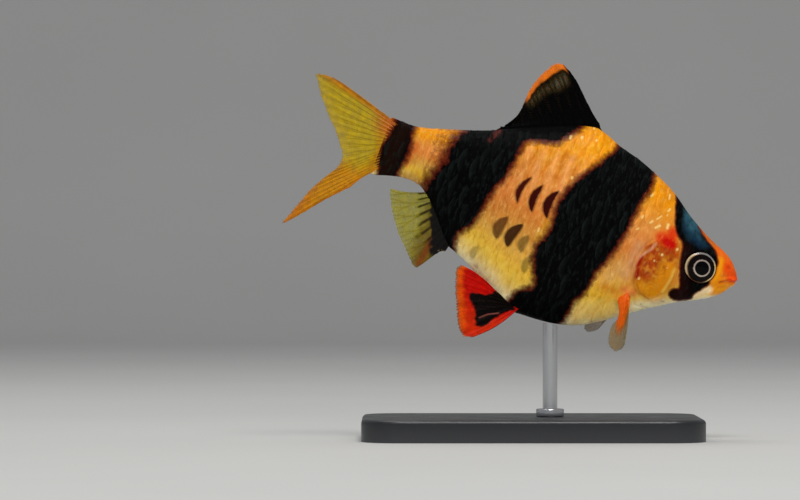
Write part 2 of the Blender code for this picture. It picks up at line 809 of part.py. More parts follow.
def bow_across(start, end, count):
    """How far each ray's middle is pushed, from the first ray's push to the last one's, in percent."""
    shares = np.linspace(0.0, 1.0, count)[:, None]
    pushes = np.array(start) * (1 - shares) + np.array(end) * shares
    return pushes * LENGTH_PERCENT * np.array([-1.0, 1.0, 1.0])


def dorsal_fin(collection, material):
    """The fin of the back, standing on the body's top line."""
    start, end = DORSAL_BASE
    along = np.array([start + (end - start) * share for share, _, _ in DORSAL_RAYS])
    roots = skin(along, math.pi / 2) + GAP * skin_normal(along, math.pi / 2)
    roots[:, 1] = 0.0
    tips = median_tips(roots[0], DORSAL_RAYS)
    bow = bow_across(*DORSAL_BOW, len(roots))
    return fin("dorsal_fin", roots, tips, bow, DORSAL_ROOT_THICKNESS, collection, material)


def anal_fin(collection, material):
    """The fin under the tail stem, standing on the body's bottom line behind the vent."""
    start, end = ANAL_BASE
    along = np.array([start + (end - start) * share for share, _, _ in ANAL_RAYS])
    roots = skin(along, -math.pi / 2) + GAP * skin_normal(along, -math.pi / 2)
    roots[:, 1] = 0.0
    tips = median_tips(roots[0], ANAL_RAYS)
    bow = bow_across(*ANAL_BOW, len(roots))
    return fin("anal_fin", roots, tips, bow, ANAL_ROOT_THICKNESS, collection, material)


def caudal_lobe(name, rays, corner, bow_ends, collection, material):
    """One lobe of the tail fin, from an outer corner of the stem's end to the middle."""
    top, bottom, _, _ = section(TAIL_STEM_END)
    up = 1 if corner == "top" else -1
    outer = (top if corner == "top" else bottom) - up * CAUDAL_INSET
    middle = (top + bottom) / 2 + up * GAP / 2
    x = -TAIL_STEM_END * LENGTH_PERCENT - GAP
    roots = np.array([(x, 0.0, outer + (middle - outer) * share) for share, _, _ in rays])
    tips = median_tips(roots[0], rays)
    bow = bow_across(*bow_ends, len(roots))
    return fin(name, roots, tips, bow, CAUDAL_ROOT_THICKNESS, collection, material)


def pelvic_fin(name, side, collection, material):
    """A belly fin, splayed outward, where side is -1 on the right."""
    start, end = PELVIC_BASE
    roots = []
    for share, _, _ in PELVIC_RAYS:
        along = start + (end - start) * share
        _, _, _, half = section(along)
        turn = -math.acos((PELVIC_OUT / half) ** (BOTTOM_FULLNESS(along) / 2))
        roots.append(skin(along, turn) + FIN_STANDOFF * skin_normal(along, turn))
    roots = np.array(roots)
    tips = median_tips(roots[0], PELVIC_RAYS)
    tips[:, 1] -= PELVIC_SPLAY
    bow = bow_across(*PELVIC_BOW, len(roots))
    flip = np.array([1.0, -side, 1.0])
    thickness = PAIRED_ROOT_THICKNESS
    return fin(name, roots * flip, tips * flip, bow * flip, thickness, collection, material)


def pectoral_fin(name, side, sweep, drop, collection, material):
    """A breast fin, standing out and down, where side is -1 on the right and sweep carries it back."""
    (start, start_height), (end, end_height) = PECTORAL_ROOT
    roots = []
    tips = []
    middle = np.array(flank_point((start + end) / 2, (start_height + end_height) / 2))
    for share, back, out, up in PECTORAL_RAYS:
        along = start + (end - start) * share
        height = start_height + (end_height - start_height) * share
        roots.append(flank_point(along, height, FIN_STANDOFF))
        carried = back - sweep * up
        tips.append(middle + np.array([-carried, -out, up * drop]) * LENGTH_PERCENT)
    bow = bow_across(*PECTORAL_BOW, len(roots))
    flip = np.array([1.0, -side, 1.0])
    roots = np.array(roots) * flip
    tips = np.array(tips) * flip
    return fin(name, roots, tips, bow * flip, PAIRED_ROOT_THICKNESS, collection, material)


def build_fins(parts, paints):
    """All the fins, in fish space."""
    return [
        dorsal_fin(parts, paints["dorsal"]),
        anal_fin(parts, paints["anal"]),
        caudal_lobe("caudal_fin_upper", CAUDAL_UPPER_RAYS, "top", CAUDAL_UPPER_BOW, parts, paints["caudal"]),
        caudal_lobe(
            "caudal_fin_lower", CAUDAL_LOWER_RAYS, "bottom", CAUDAL_LOWER_BOW, parts, paints["caudal"]
        ),
        pelvic_fin("pelvic_fin_right", -1, parts, paints["pelvic"]),
        pelvic_fin("pelvic_fin_left", 1, parts, paints["pelvic"]),
        pectoral_fin("pectoral_fin_right", -1, 0.0, 1.0, parts, paints["pectoral"]),
        pectoral_fin(
            "pectoral_fin_left", 1, LEFT_PECTORAL_SWEEP, LEFT_PECTORAL_DROP, parts, paints["pectoral"]
        ),
    ]


def pose_fish(pieces, collection):
    """Tips the fish nose down over the base, with the rod's top under its belly, and returns the empty."""
    pose = bpy.data.objects.new("fish_pose", None)
    collection.objects.link(pose)
    for piece in pieces:
        piece.parent = pose
    lean = Matrix.Rotation(PITCH, 4, "Y")
    root = np.array(flank_point(*PECTORAL_ROOT[0]))
    lowest = min(
        (lean @ Vector((root[0] - back * LENGTH_PERCENT, 0.0, root[2] + up * LENGTH_PERCENT))).z
        for _, back, _, up in PECTORAL_RAYS
    )
    belly = lean @ Vector(skin(ROD_ALONG, -math.pi / 2))
    pose.rotation_euler = (0.0, PITCH, 0.0)
    pose.location = (ROD_PLACE - belly.x, 0.0, BASE_SIZE[2] + FIN_CLEARANCE - lowest)
    bpy.context.view_layer.update()
    return pose


def stand_base(collection, helpers, material):
    """The flat base, with round corners, a softened rim and a seat for the rod."""
    length, width, height = BASE_SIZE
    bm = bmesh.new()
    bmesh.ops.create_cube(bm, size=1.0)
    bmesh.ops.scale(bm, vec=(length, width, height), verts=bm.verts)
    bmesh.ops.translate(bm, vec=(0.0, 0.0, height / 2), verts=bm.verts)
    upright = [e for e in bm.edges if abs(e.verts[0].co.z - e.verts[1].co.z) > height / 2]
    bevel = {"affect": "EDGES", "profile": 0.5}
    bmesh.ops.bevel(bm, geom=upright, offset=BASE_CORNER, segments=CORNER_SEGMENTS, **bevel)
    rim = [e for e in bm.edges if min(v.co.z for v in e.verts) > height - 1e-6]
    rim = [e for e in rim if len(e.link_faces) == 2 and e.calc_face_angle(0.0) > 1.0]
    bmesh.ops.bevel(bm, geom=rim, offset=BASE_EDGE, segments=EDGE_SEGMENTS, **bevel)
    mesh = bpy.data.meshes.new("stand_base")
    bm.to_mesh(mesh)
    bm.free()
    base = object_from("stand_base", mesh, collection, material)
    seat = rod_bar("rod_seat", ROD_RADIUS + GAP, height - ROD_SEAT, 2 * height, helpers)
    combine(base, "DIFFERENCE", [as_cutter(seat)])
    return base


def rod_bar(name, radius, low, high, collection, material=None):
    """An upright round bar at the rod's place, between two heights."""
    bm = bmesh.new()
    bmesh.ops.create_cone(
        bm,
        cap_ends=True,
        segments=ROD_SEGMENTS,
        radius1=radius,
        radius2=radius,
        depth=high - low,
        matrix=Matrix.Translation((ROD_PLACE, 0.0, (low + high) / 2)),
    )
    mesh = bpy.data.meshes.new(name)
    bm.to_mesh(mesh)
    bm.free()
    return object_from(name, mesh, collection, material)


def stand_rod(pose, collection, helpers, material):
    """The rod, from its seat in the base up to the belly, whose shape its top is cut to."""
    belly = pose.matrix_world @ Vector(skin(ROD_ALONG, -math.pi / 2))
    foot = BASE_SIZE[2] - ROD_SEAT + GAP
    rod = rod_bar("stand_rod", ROD_RADIUS, foot, belly.z + ROD_SPARE, collection, material)
    room = flesh("belly_room", helpers, GAP)
    room.parent = pose
    combine(rod, "DIFFERENCE", [room])
    return rod


def main():
    """Builds the fish, its pose and its stand."""
    clear_scene()
    parts = new_collection("tiger_barb")
    helpers = new_collection("cutters", hidden=True)
    paints = {
        "head": paint("head_skin", (0.75, 0.20, 0.03), 0.35),
        "jaw": paint("jaw_skin", (0.80, 0.38, 0.14), 0.35),
        "gill": paint("gill_cover_gold", (0.70, 0.30, 0.04), 0.3, 0.3),
        "flank": paint("flank_orange", (0.78, 0.40, 0.12), 0.35),
        "eye": paint("eye_black", (0.02, 0.015, 0.012), 0.1),
        "dorsal": paint("dorsal_black", (0.02, 0.015, 0.012), 0.4),
        "anal": paint("anal_pale_yellow", (0.62, 0.50, 0.22), 0.4),
        "caudal": paint("caudal_amber", (0.75, 0.38, 0.08), 0.4),
        "pelvic": paint("pelvic_red", (0.68, 0.05, 0.015), 0.4),
        "pectoral": paint("pectoral_orange", (0.78, 0.25, 0.04), 0.4),
        "base": paint("base_black", (0.03, 0.03, 0.032), 0.3),
        "rod": paint("rod_steel", (0.60, 0.60, 0.61), 0.25, 1.0),
    }
    pieces = build_flesh(parts, helpers, paints)
    pieces += build_fins(parts, paints)
    pose = pose_fish(pieces, parts)
    stand_base(parts, helpers, paints["base"])
    stand_rod(pose, parts, helpers, paints["rod"])


main()
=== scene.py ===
"""Dresses a life-size tiger barb that swims nose down over its display stand.

The fish is shaped in its own space, in millimetres: "along" runs back from the snout tip, "height" up
from the level of the snout tip, and y is negative on the right flank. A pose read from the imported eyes
puts it in the frame. One skin covers head and trunk, rows of scales lie over it, every fin is a sheet
with branching rays, and one pattern paints skin and scales alike.
"""

from __future__ import annotations

import itertools
import logging
import math
from dataclasses import dataclass
from enum import Enum
from typing import Callable, Sequence

import bpy
import numpy as np
from mathutils import Matrix, Vector

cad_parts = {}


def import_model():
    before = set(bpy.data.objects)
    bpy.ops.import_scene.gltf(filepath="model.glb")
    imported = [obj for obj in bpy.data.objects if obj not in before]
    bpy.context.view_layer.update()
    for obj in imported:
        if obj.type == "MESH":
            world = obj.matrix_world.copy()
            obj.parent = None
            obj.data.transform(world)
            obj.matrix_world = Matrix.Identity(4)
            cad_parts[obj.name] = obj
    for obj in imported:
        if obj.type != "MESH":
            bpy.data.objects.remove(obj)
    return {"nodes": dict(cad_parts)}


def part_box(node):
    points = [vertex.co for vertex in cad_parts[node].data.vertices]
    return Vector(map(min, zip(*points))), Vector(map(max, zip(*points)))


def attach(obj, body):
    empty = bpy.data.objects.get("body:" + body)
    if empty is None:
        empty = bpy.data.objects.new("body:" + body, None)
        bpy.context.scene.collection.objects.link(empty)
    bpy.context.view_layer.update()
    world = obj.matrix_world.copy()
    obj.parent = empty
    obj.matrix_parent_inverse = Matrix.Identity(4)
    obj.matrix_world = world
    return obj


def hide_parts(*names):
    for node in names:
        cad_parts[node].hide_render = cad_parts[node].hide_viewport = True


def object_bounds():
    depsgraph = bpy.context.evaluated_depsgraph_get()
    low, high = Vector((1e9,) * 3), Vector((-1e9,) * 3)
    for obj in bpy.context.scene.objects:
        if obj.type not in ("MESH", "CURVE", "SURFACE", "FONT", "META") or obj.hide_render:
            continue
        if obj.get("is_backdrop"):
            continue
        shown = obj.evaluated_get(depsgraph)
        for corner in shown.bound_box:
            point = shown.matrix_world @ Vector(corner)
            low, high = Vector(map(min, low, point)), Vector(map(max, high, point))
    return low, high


LOG = logging.getLogger("tiger_barb")
MM = 0.001
MARKS = "Marks"
INK = "Ink"
PLACE = "Place"
BAR = "Bar"
GLEAM = "Gleam"
GROWTH = "Growth"
Array = np.ndarray
Pair = tuple[float, float]
Triple = tuple[float, float, float]


def linear(code: str) -> Array:
    """A colour for the shaders from a web colour code.

    Args:
        code: The colour as "#rrggbb".

    Returns:
        Red, green and blue in linear light.
    """
    values = np.array([int(code[i : i + 2], 16) for i in (1, 3, 5)]) / 255
    return np.where(values <= 0.04045, values / 12.92, ((values + 0.055) / 1.055) ** 2.4)


def ease(low: float, high: float, value: Array) -> Array:
    """A smooth step.

    Args:
        low: Where the step starts.
        high: Where the step ends; below low, the step runs down.
        value: The places to read.

    Returns:
        0 to 1 at each place.
    """
    share = np.clip((value - low) / (high - low), 0.0, 1.0)
    return share * share * (3 - 2 * share)


def bell(distance: Array, width: float) -> Array:
    """A round bump that is 1 at no distance and fades over the width."""
    return np.exp(-((distance / width) ** 2))


def blend(under: Array, over: Array | str, share: Array) -> Array:
    """One colour, or web colour code, laid over another by a share at each point."""
    cover = np.asarray(share)[..., None]
    return under * (1 - cover) + (linear(over) if isinstance(over, str) else over) * cover


def plain(code: str, points: Array) -> Array:
    """One colour at every point."""
    return np.broadcast_to(linear(code), points.shape)


def side_view(points: Array) -> Array:
    """The along and height of points in fish space."""
    return np.column_stack([-points[:, 0], points[:, 2]])


def grain(points: Array, size: float, seed: int) -> Array:
    """Smooth random values over space, the same on every run.

    Args:
        points: Places, three numbers each.
        size: How large the blobs are, in the points' unit.
        seed: Which draw.

    Returns:
        Values from -1 to 1.
    """
    cell = points / size
    low = np.floor(cell).astype(np.int64)
    part = cell - low
    part = part * part * (3 - 2 * part)
    total = np.zeros(points.shape[:-1])
    for corner in itertools.product((0, 1), repeat=3):
        key = (low + corner) * np.array([73856093, 19349663, 83492791])
        mixed = (key[..., 0] ^ key[..., 1] ^ key[..., 2] ^ (seed * 2654435761)) & 0xFFFFFFFF
        mixed = ((mixed ^ (mixed >> 15)) * 2246822519) & 0xFFFFFFFF
        mixed = (mixed ^ (mixed >> 13)) / 0xFFFFFFFF
        total += mixed * np.prod(np.where(corner, part, 1 - part), axis=-1)
    return 2 * total - 1


def spline(places: Sequence[float], values: Array) -> Callable[[Array], Array]:
    """A smooth curve through the values at the places.

    Args:
        places: Where the curve has its values, rising.
        values: One value, or one row of values, at each place.

    Returns:
        A function from places to values: a natural cubic spline, level past its ends.
    """
    x = np.asarray(places, float)
    y = np.asarray(values, float).reshape(len(x), -1)
    flat = np.ndim(values) == 1
    step = np.diff(x)[:, None]
    count = len(x)
    system = np.eye(count)
    turn = np.zeros_like(y)
    for i in range(1, count - 1):
        system[i, i - 1] = step[i - 1, 0]
        system[i, i] = 2 * (step[i - 1, 0] + step[i, 0])
        system[i, i + 1] = step[i, 0]
        turn[i] = 6 * ((y[i + 1] - y[i]) / step[i] - (y[i] - y[i - 1]) / step[i - 1])
    curve = np.linalg.solve(system, turn)

    def at(place: Array) -> Array:
        """The curve's values at the places."""
        p = np.clip(np.asarray(place, float), x[0], x[-1])
        i = np.clip(np.searchsorted(x, p) - 1, 0, count - 2)
        left = (p - x[i])[..., None]
        right = (x[i + 1] - p)[..., None]
        width = step[i]
        found = (curve[i] * right**3 + curve[i + 1] * left**3) / (6 * width)
        found = found + (y[i] / width - curve[i] * width / 6) * right
        found = found + (y[i + 1] / width - curve[i + 1] * width / 6) * left
        return found[..., 0] if flat else found

    return at


def path_distance(points: Array, path: Sequence[Pair], closed: bool = False) -> Array:
    """How far each point of the side view is from a path of straight runs.

    Args:
        points: Places in the side view, (N, 2).
        path: The path's corners.
        closed: Whether the path returns to its start.

    Returns:
        The distances.
    """
    corners = np.array(path, float)
    if len(corners) == 1:
        return np.linalg.norm(points - corners[0], axis=1)
    ends = np.roll(corners, -1, axis=0) if closed else corners[1:]
    starts = corners if closed else corners[:-1]
    nearest = np.full(len(points), np.inf)
    for start, end in zip(starts, ends):
        run = end - start
        share = np.clip((points - start) @ run / (run @ run), 0.0, 1.0)
        gap = np.linalg.norm(points - start - share[:, None] * run, axis=1)
        nearest = np.minimum(nearest, gap)
    return nearest


def outline_depth(points: Array, outline: Sequence[Pair]) -> Array:
    """How far each point lies outside a closed outline, below zero inside it.

    Args:
        points: Places in the side view, (N, 2).
        outline: The outline's corners.

    Returns:
        The signed distances.
    """
    corners = np.array(outline, float)
    within = np.zeros(len(points), bool)
    for start, end in zip(corners, np.roll(corners, -1, axis=0)):
        spans = (start[1] > points[:, 1]) != (end[1] > points[:, 1])
        rise = end[1] - start[1]
        cross = start[0] + (points[:, 1] - start[1]) * (end[0] - start[0]) / (rise if rise else 1.0)
        within ^= spans & (points[:, 0] < cross)
    gap = path_distance(points, outline, closed=True)
    return np.where(within, -gap, gap)


def rounded(outline: Sequence[Pair], rounds: int = 2) -> Array:
    """A closed outline whose corners are cut over and over, until it is smooth."""
    corners = np.array(outline, float)
    for _ in range(rounds):
        after = np.roll(corners, -1, axis=0)
        cut = np.stack([0.75 * corners + 0.25 * after, 0.25 * corners + 0.75 * after], axis=1)
        corners = cut.reshape(-1, 2)
    return corners


@dataclass(frozen=True)
class Body:
    """The fish's flesh without its fins: outline and sections, in shares of three driving sizes."""

    length: float = 50.0
    depth: float = 27.1
    width: float = 10.2
    start: float = -0.25
    end: float = 50.5
    swing_start: float = 21.0
    swing_at_end: float = 1.6
    # Along in percent of length, top and bottom in percent of depth, half width in percent of the widest
    profile: tuple[tuple[float, float, float, float], ...] = (
        (-0.5, -2.9, -2.9, 0), (0.0, 0.4, -5.7, 15), (0.8, 2.3, -7.9, 24), (2.0, 4.8, -10.9, 33),
        (4.0, 7.6, -14.2, 43), (7.0, 10.2, -17.7, 53), (10.0, 12.6, -20.5, 61), (14.0, 16.4, -24.4, 70),
        (18.0, 20.8, -29.3, 79), (22.0, 26.2, -34.1, 86), (26.0, 30.5, -39.5, 91), (30.0, 33.8, -44.6, 95),
        (36.0, 37.9, -50.9, 99), (42.0, 41.0, -53.9, 100), (48.0, 44.6, -55.1, 98), (54.0, 42.6, -54.4, 93),
        (60.0, 38.7, -50.2, 85), (66.0, 34.0, -44.3, 74), (72.0, 29.0, -38.4, 62), (75.2, 26.5, -35.8, 56),
        (80.0, 23.2, -26.6, 47), (84.0, 20.8, -18.5, 41), (87.0, 19.2, -13.7, 37), (90.0, 17.5, -11.5, 34),
        (94.0, 15.6, -11.3, 31), (97.0, 15.0, -12.4, 28), (101.0, 15.3, -14.6, 23),
    )
    # Along in percent of length, the widest level's share of the depth, fullness above and below it
    sections: tuple[tuple[float, float, float, float], ...] = (
        (-0.5, 0.50, 2.0, 2.0), (4.0, 0.50, 2.3, 2.2), (14.0, 0.49, 2.3, 2.1), (24.0, 0.47, 2.0, 2.1),
        (36.0, 0.45, 1.8, 2.1), (50.0, 0.45, 1.7, 2.1), (62.0, 0.47, 1.7, 1.9), (76.0, 0.52, 1.8, 1.65),
        (88.0, 0.50, 1.9, 1.8), (101.0, 0.50, 2.0, 2.0),
    )

    def __post_init__(self) -> None:
        """Works out the smooth curves once."""
        columns = np.array(self.profile).T
        blunt = self._from_snout(columns[0] * self.length / 100)
        percent = self.depth / 100
        curves = {
            "_top": spline(blunt, columns[1] * percent),
            "_bottom": spline(blunt, columns[2] * percent),
            "_half": spline(blunt, columns[3] / 100 * self.width / 2),
        }
        shape = np.array(self.sections).T
        for name, column in zip(("_widest", "_above", "_below"), shape[1:]):
            curves[name] = spline(shape[0] * self.length / 100, column)
        for name, curve in curves.items():
            object.__setattr__(self, name, curve)

    def _from_snout(self, along: Array) -> Array:
        """The square root of the distance from the snout tip, which makes the outline blunt there."""
        return np.sqrt(np.maximum(np.asarray(along, float) - self.start, 0.0))

    def section(self, along: Array) -> tuple[Array, Array, Array, Array]:
        """The body's cross section.

        Args:
            along: Places along the fish.

        Returns:
            Its top, its bottom, its widest level and its half width.
        """
        s = self._from_snout(along)
        top = self._top(s)
        bottom = self._bottom(s)
        return top, bottom, bottom + self._widest(along) * (top - bottom), np.maximum(self._half(s), 0.0)

    def fullness(self, along: Array, above: Array) -> Array:
        """The power that rounds the section, above its widest level or below it."""
        return np.where(above, self._above(along), self._below(along)) / 2

    def skin(self, along: Array, turn: Array) -> Array:
        """Points of the surface.

        Args:
            along: Places along the fish.
            turn: Angles round it: 0 on the right flank, a quarter turn on the back.

        Returns:
            Places in fish space, (..., 3).
        """
        along, turn = np.broadcast_arrays(np.asarray(along, float), np.asarray(turn, float))
        top, bottom, level, half = self.section(along)
        rise = np.sin(turn)
        out = np.cos(turn)
        power = 1 / self.fullness(along, rise >= 0)
        reach = np.where(rise >= 0, top - level, level - bottom)
        y = -half * np.sign(out) * np.abs(out) ** power
        z = level + reach * np.sign(rise) * np.abs(rise) ** power
        return np.stack([-along, y, z], axis=-1)

    def facing(self, along: Array, turn: Array) -> Array:
        """The way the surface faces, from points just beside each place."""
        step = 0.01
        place = np.maximum(along, self.start + 2 * step)
        lengthwise = self.skin(place + step, turn) - self.skin(place - step, turn)
        around = self.skin(place, turn + step) - self.skin(place, turn - step)
        normal = np.cross(around, lengthwise)
        return normal / np.maximum(np.linalg.norm(normal, axis=-1, keepdims=True), 1e-12)

    def flank_turn(self, along: Array, height: Array) -> Array:
        """The turn at which the right flank has this height."""
        top, bottom, level, _ = self.section(along)
        above = height >= level
        power = self.fullness(along, above)
        reach = np.maximum(np.where(above, top - level, level - bottom), 1e-9)
        turn = np.arcsin(np.clip(np.abs(height - level) / reach, 0.0, 1.0) ** power)
        return np.where(above, turn, -turn)

    def flank(self, along: float, height: float, outward: float = 0.0) -> Array:
        """A point on the right flank, moved outward by a distance."""
        turn = self.flank_turn(along, height)
        return self.skin(along, turn) + outward * self.facing(along, turn)

    def swing(self, points: Array) -> Array:
        """The same points with the tail swung a little to the left."""
        back = np.maximum(-points[..., 0] - self.swing_start, 0.0)
        moved = points.copy()
        moved[..., 1] += self.swing_at_end * (back / (self.end - self.swing_start)) ** 2
        return moved


@dataclass(frozen=True)
class EyePlace:
    """Where the right eye sits in the fish, and how large it is."""

    body: Body
    along: float = 5.0
    height: float = -0.813
    diameter: float = 4.3
    turn: float = math.radians(13.0)
    setback: float = 0.08

    @property
    def bulge(self) -> float:
        """Half of the ball's thickness."""
        return 0.33 * self.diameter

    @property
    def sink(self) -> float:
        """How far the ball's centre lies under the skin."""
        return 0.165 * self.diameter

    @property
    def radius(self) -> float:
        """The ball's radius across its axis, so that its rim at skin level has the eye's diameter."""
        return self.diameter / 2 / math.sqrt(1 - (self.sink / self.bulge) ** 2)

    @property
    def outward(self) -> Array:
        """The way the eye looks: out and a little forward."""
        return np.array([math.sin(self.turn), -math.cos(self.turn), 0.0])

    @property
    def centre(self) -> Array:
        """The ball's centre."""
        return self.body.flank(self.along, self.height) - self.outward * self.sink


@dataclass(frozen=True)
class Pose:
    """How the fish stands in the frame: tipped nose down, at the place its packed eyes give."""

    eye: EyePlace
    pitch: float = math.radians(20.0)

    def __post_init__(self) -> None:
        """Reads the eyes' middle from the frame."""
        corners = [corner for side in ("right", "left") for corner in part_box(f"eye_{side}")]
        middle = np.mean(np.array(corners, float), axis=0)
        lean = np.array(Matrix.Rotation(self.pitch, 3, "Y"))
        centre = self.eye.centre * (1, 0, 1) * MM
        object.__setattr__(self, "_lean", lean)
        object.__setattr__(self, "_place", middle - lean @ centre)

    def world(self, points: Array) -> Array:
        """Points of the fish, in millimetres, as places in the frame, in metres."""
        return points * MM @ self._lean.T + self._place


class Side(Enum):
    """A side of the fish, as the sign of y."""

    RIGHT = -1
    LEFT = 1

    @property
    def flip(self) -> Array:
        """What turns places on the right into places on this side."""
        return np.array([1.0, -self.value, 1.0])

    @property
    def word(self) -> str:
        """The side's name as it stands in the names of pieces."""
        return self.name.lower()


def read_points(obj: bpy.types.Object) -> Array:
    """The object's mesh points as an array."""
    flat = np.empty(len(obj.data.vertices) * 3, np.float32)
    obj.data.vertices.foreach_get("co", flat)
    return flat.reshape(-1, 3).astype(float)


def write_points(obj: bpy.types.Object, points: Array) -> None:
    """Puts the object's mesh points in new places."""
    obj.data.vertices.foreach_set("co", points.astype(np.float32).ravel())
    obj.data.update()


def write_marks(
    obj: bpy.types.Object, colours: Array, alpha: Array | float = 1.0, name: str = MARKS
) -> None:
    """Paints the points of the mesh.

    Args:
        obj: The piece.
        colours: One colour for each point.
        alpha: How opaque each point is.
        name: The layer's name.
    """
    layer = obj.data.color_attributes.new(name, "FLOAT_COLOR", "POINT")
    opaque = np.broadcast_to(np.asarray(alpha, float), (len(colours),))
    layer.data.foreach_set("color", np.column_stack([colours, opaque]).astype(np.float32).ravel())


def write_values(obj: bpy.types.Object, name: str, values: Array) -> None:
    """Stores one number for each point of the mesh, for its material to read."""
    layer = obj.data.attributes.new(name, "FLOAT", "POINT")
    layer.data.foreach_set("value", values.astype(np.float32))


def write_places(obj: bpy.types.Object, places: Array) -> None:
    """Stores where in the side view each point of the mesh lies."""
    layer = obj.data.attributes.new(PLACE, "FLOAT_VECTOR", "POINT")
    layer.data.foreach_set("vector", np.pad(places, ((0, 0), (0, 1))).astype(np.float32).ravel())


def only(obj: bpy.types.Object) -> None:
    """Makes the object the one selected and active object."""
    bpy.ops.object.select_all(action="DESELECT")
    obj.select_set(True)
    bpy.context.view_layer.objects.active = obj


def added(name: str) -> bpy.types.Object:
    """Names the primitive that was just added, leaves it alone selected, and returns it."""
    obj = bpy.context.active_object
    obj.name = name
    obj.data.name = name
    only(obj)
    return obj


def outward_faces(obj: bpy.types.Object) -> None:
    """Turns every face of a closed mesh to point out."""
    only(obj)
    bpy.ops.object.mode_set(mode="EDIT")
    bpy.ops.mesh.select_all(action="SELECT")
    bpy.ops.mesh.normals_make_consistent(inside=False)
    bpy.ops.object.mode_set(mode="OBJECT")


def settle(
    obj: bpy.types.Object, material: bpy.types.Material, nodes: Sequence[str] = ()
) -> None:
    """Dresses a finished piece, ties it to the fish's body and lets it stand for CAD nodes.

    Args:
        obj: The piece, in place.
        material: Its material.
        nodes: The CAD nodes that it stands for.
    """
    obj.data.materials.clear()
    obj.data.materials.append(material)
    obj.data.shade_smooth()
    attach(obj, "root")
    if nodes:
        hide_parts(*nodes)
    LOG.info("%s: %d points, in place of %s", obj.name, len(obj.data.vertices), ", ".join(nodes) or "nothing")


class Sheet:
    """A material under construction, with short calls to add and join its shader nodes."""

    def __init__(self, name: str) -> None:
        """Starts an empty material with a Principled shader."""
        self.material = bpy.data.materials.new(name)
        self.material.use_nodes = True
        self.nodes = self.material.node_tree.nodes
        self.shader = self.nodes["Principled BSDF"]

    def add(self, kind: str, inputs: dict | None = None, **settings: object) -> bpy.types.Node:
        """Adds a shader node.

        Args:
            kind: The node's type, without its ShaderNode prefix.
            inputs: Values or sockets for its inputs, by name or number.
            settings: Its own settings.

        Returns:
            The node.
        """
        node = self.nodes.new(f"ShaderNode{kind}")
        for key, value in settings.items():
            setattr(node, key, value)
        for key, value in (inputs or {}).items():
            self.feed(node.inputs[key], value)
        return node

    def feed(self, socket: bpy.types.NodeSocket, value: object) -> None:
        """Links a socket into another, or sets its value, which may be a web colour code."""
        if isinstance(value, bpy.types.NodeSocket):
            self.material.node_tree.links.new(value, socket)
        else:
            socket.default_value = (*linear(value), 1.0) if isinstance(value, str) else value

    def shade(self, **values: object) -> None:
        """Feeds the Principled shader's inputs, whose names have spaces for underscores."""
        for key, value in values.items():
            self.feed(self.shader.inputs[key.replace("_", " ")], value)

    def read(self, name: str, output: str = "Fac") -> bpy.types.NodeSocket:
        """What the mesh stores under this name."""
        return self.add("Attribute", attribute_name=name, attribute_type="GEOMETRY").outputs[output]

    def noise(self, size: float, detail: float = 2.0, roughness: float = 0.5) -> bpy.types.NodeSocket:
        """Noise in space whose blobs have about this size in millimetres."""
        place = self.add("TexCoord").outputs["Object"]
        inputs = {"Vector": place, "Scale": 1 / (size * MM), "Detail": detail, "Roughness": roughness}
        return self.add("TexNoise", inputs).outputs["Fac"]

    def step(self, value: object, low: float, high: float, start: float, end: float) -> bpy.types.NodeSocket:
        """Maps a range of a value to another range, held at its ends."""
        inputs = {"Value": value, 1: low, 2: high, 3: start, 4: end}
        return self.add("MapRange", inputs).outputs["Result"]

    def maths(
        self, operation: str, first: object, second: object = 0.0, third: object = 0.0
    ) -> bpy.types.NodeSocket:
        """One operation on up to three numbers."""
        return self.add("Math", {0: first, 1: second, 2: third}, operation=operation).outputs[0]

    def vector(self, operation: str, first: object, second: object = (0.0, 0.0, 0.0)) -> bpy.types.NodeSocket:
        """One operation on two vectors."""
        node = self.add("VectorMath", {0: first, 1: second}, operation=operation)
        return node.outputs["Value" if operation in ("LENGTH", "DOT_PRODUCT") else "Vector"]

    def lay(self, share: object, under: object, over: object, way: str = "MIX") -> bpy.types.NodeSocket:
        """One colour over another by a share."""
        node = self.add("Mix", data_type="RGBA", blend_type=way)
        for key, value in ((0, share), (6, under), (7, over)):
            self.feed(node.inputs[key], value)
        return node.outputs[2]

    def bump(self, height: object, depth: float, under: object | None = None) -> bpy.types.NodeSocket:
        """A bump of this depth in millimetres."""
        inputs = {"Height": height, "Distance": depth * MM, "Strength": 1.0}
        if under is not None:
            inputs["Normal"] = under
        return self.add("Bump", inputs).outputs["Normal"]


@dataclass(frozen=True)
class Moon:
    """A dark crescent on a scale: a leaning stroke, convex to the rear."""

    colour: str
    place: Pair
    half_height: float
    half_width: float
    lean: float
    belly: float
    strength: float = 1.0

    def gap(self, sheet: Sheet, along: object, height: object) -> bpy.types.NodeSocket:
        """How far the shaded place lies outside the crescent, below zero inside it."""
        maths = sheet.maths
        rise = maths("DIVIDE", maths("SUBTRACT", height, self.place[1]), self.half_height)
        inside = maths("MAXIMUM", maths("SUBTRACT", 1.0, maths("MULTIPLY", rise, rise)), 0.0)
        middle = maths("MULTIPLY_ADD", inside, self.belly, self.place[0])
        offset = maths("ADD", maths("SUBTRACT", along, middle), maths("MULTIPLY", rise, self.lean))
        half = maths("MULTIPLY", maths("POWER", inside, 0.6), self.half_width)
        beyond = maths("MULTIPLY", maths("SUBTRACT", maths("ABSOLUTE", rise), 1.0), self.half_height)
        return maths("MAXIMUM", maths("SUBTRACT", maths("ABSOLUTE", offset), half), beyond)


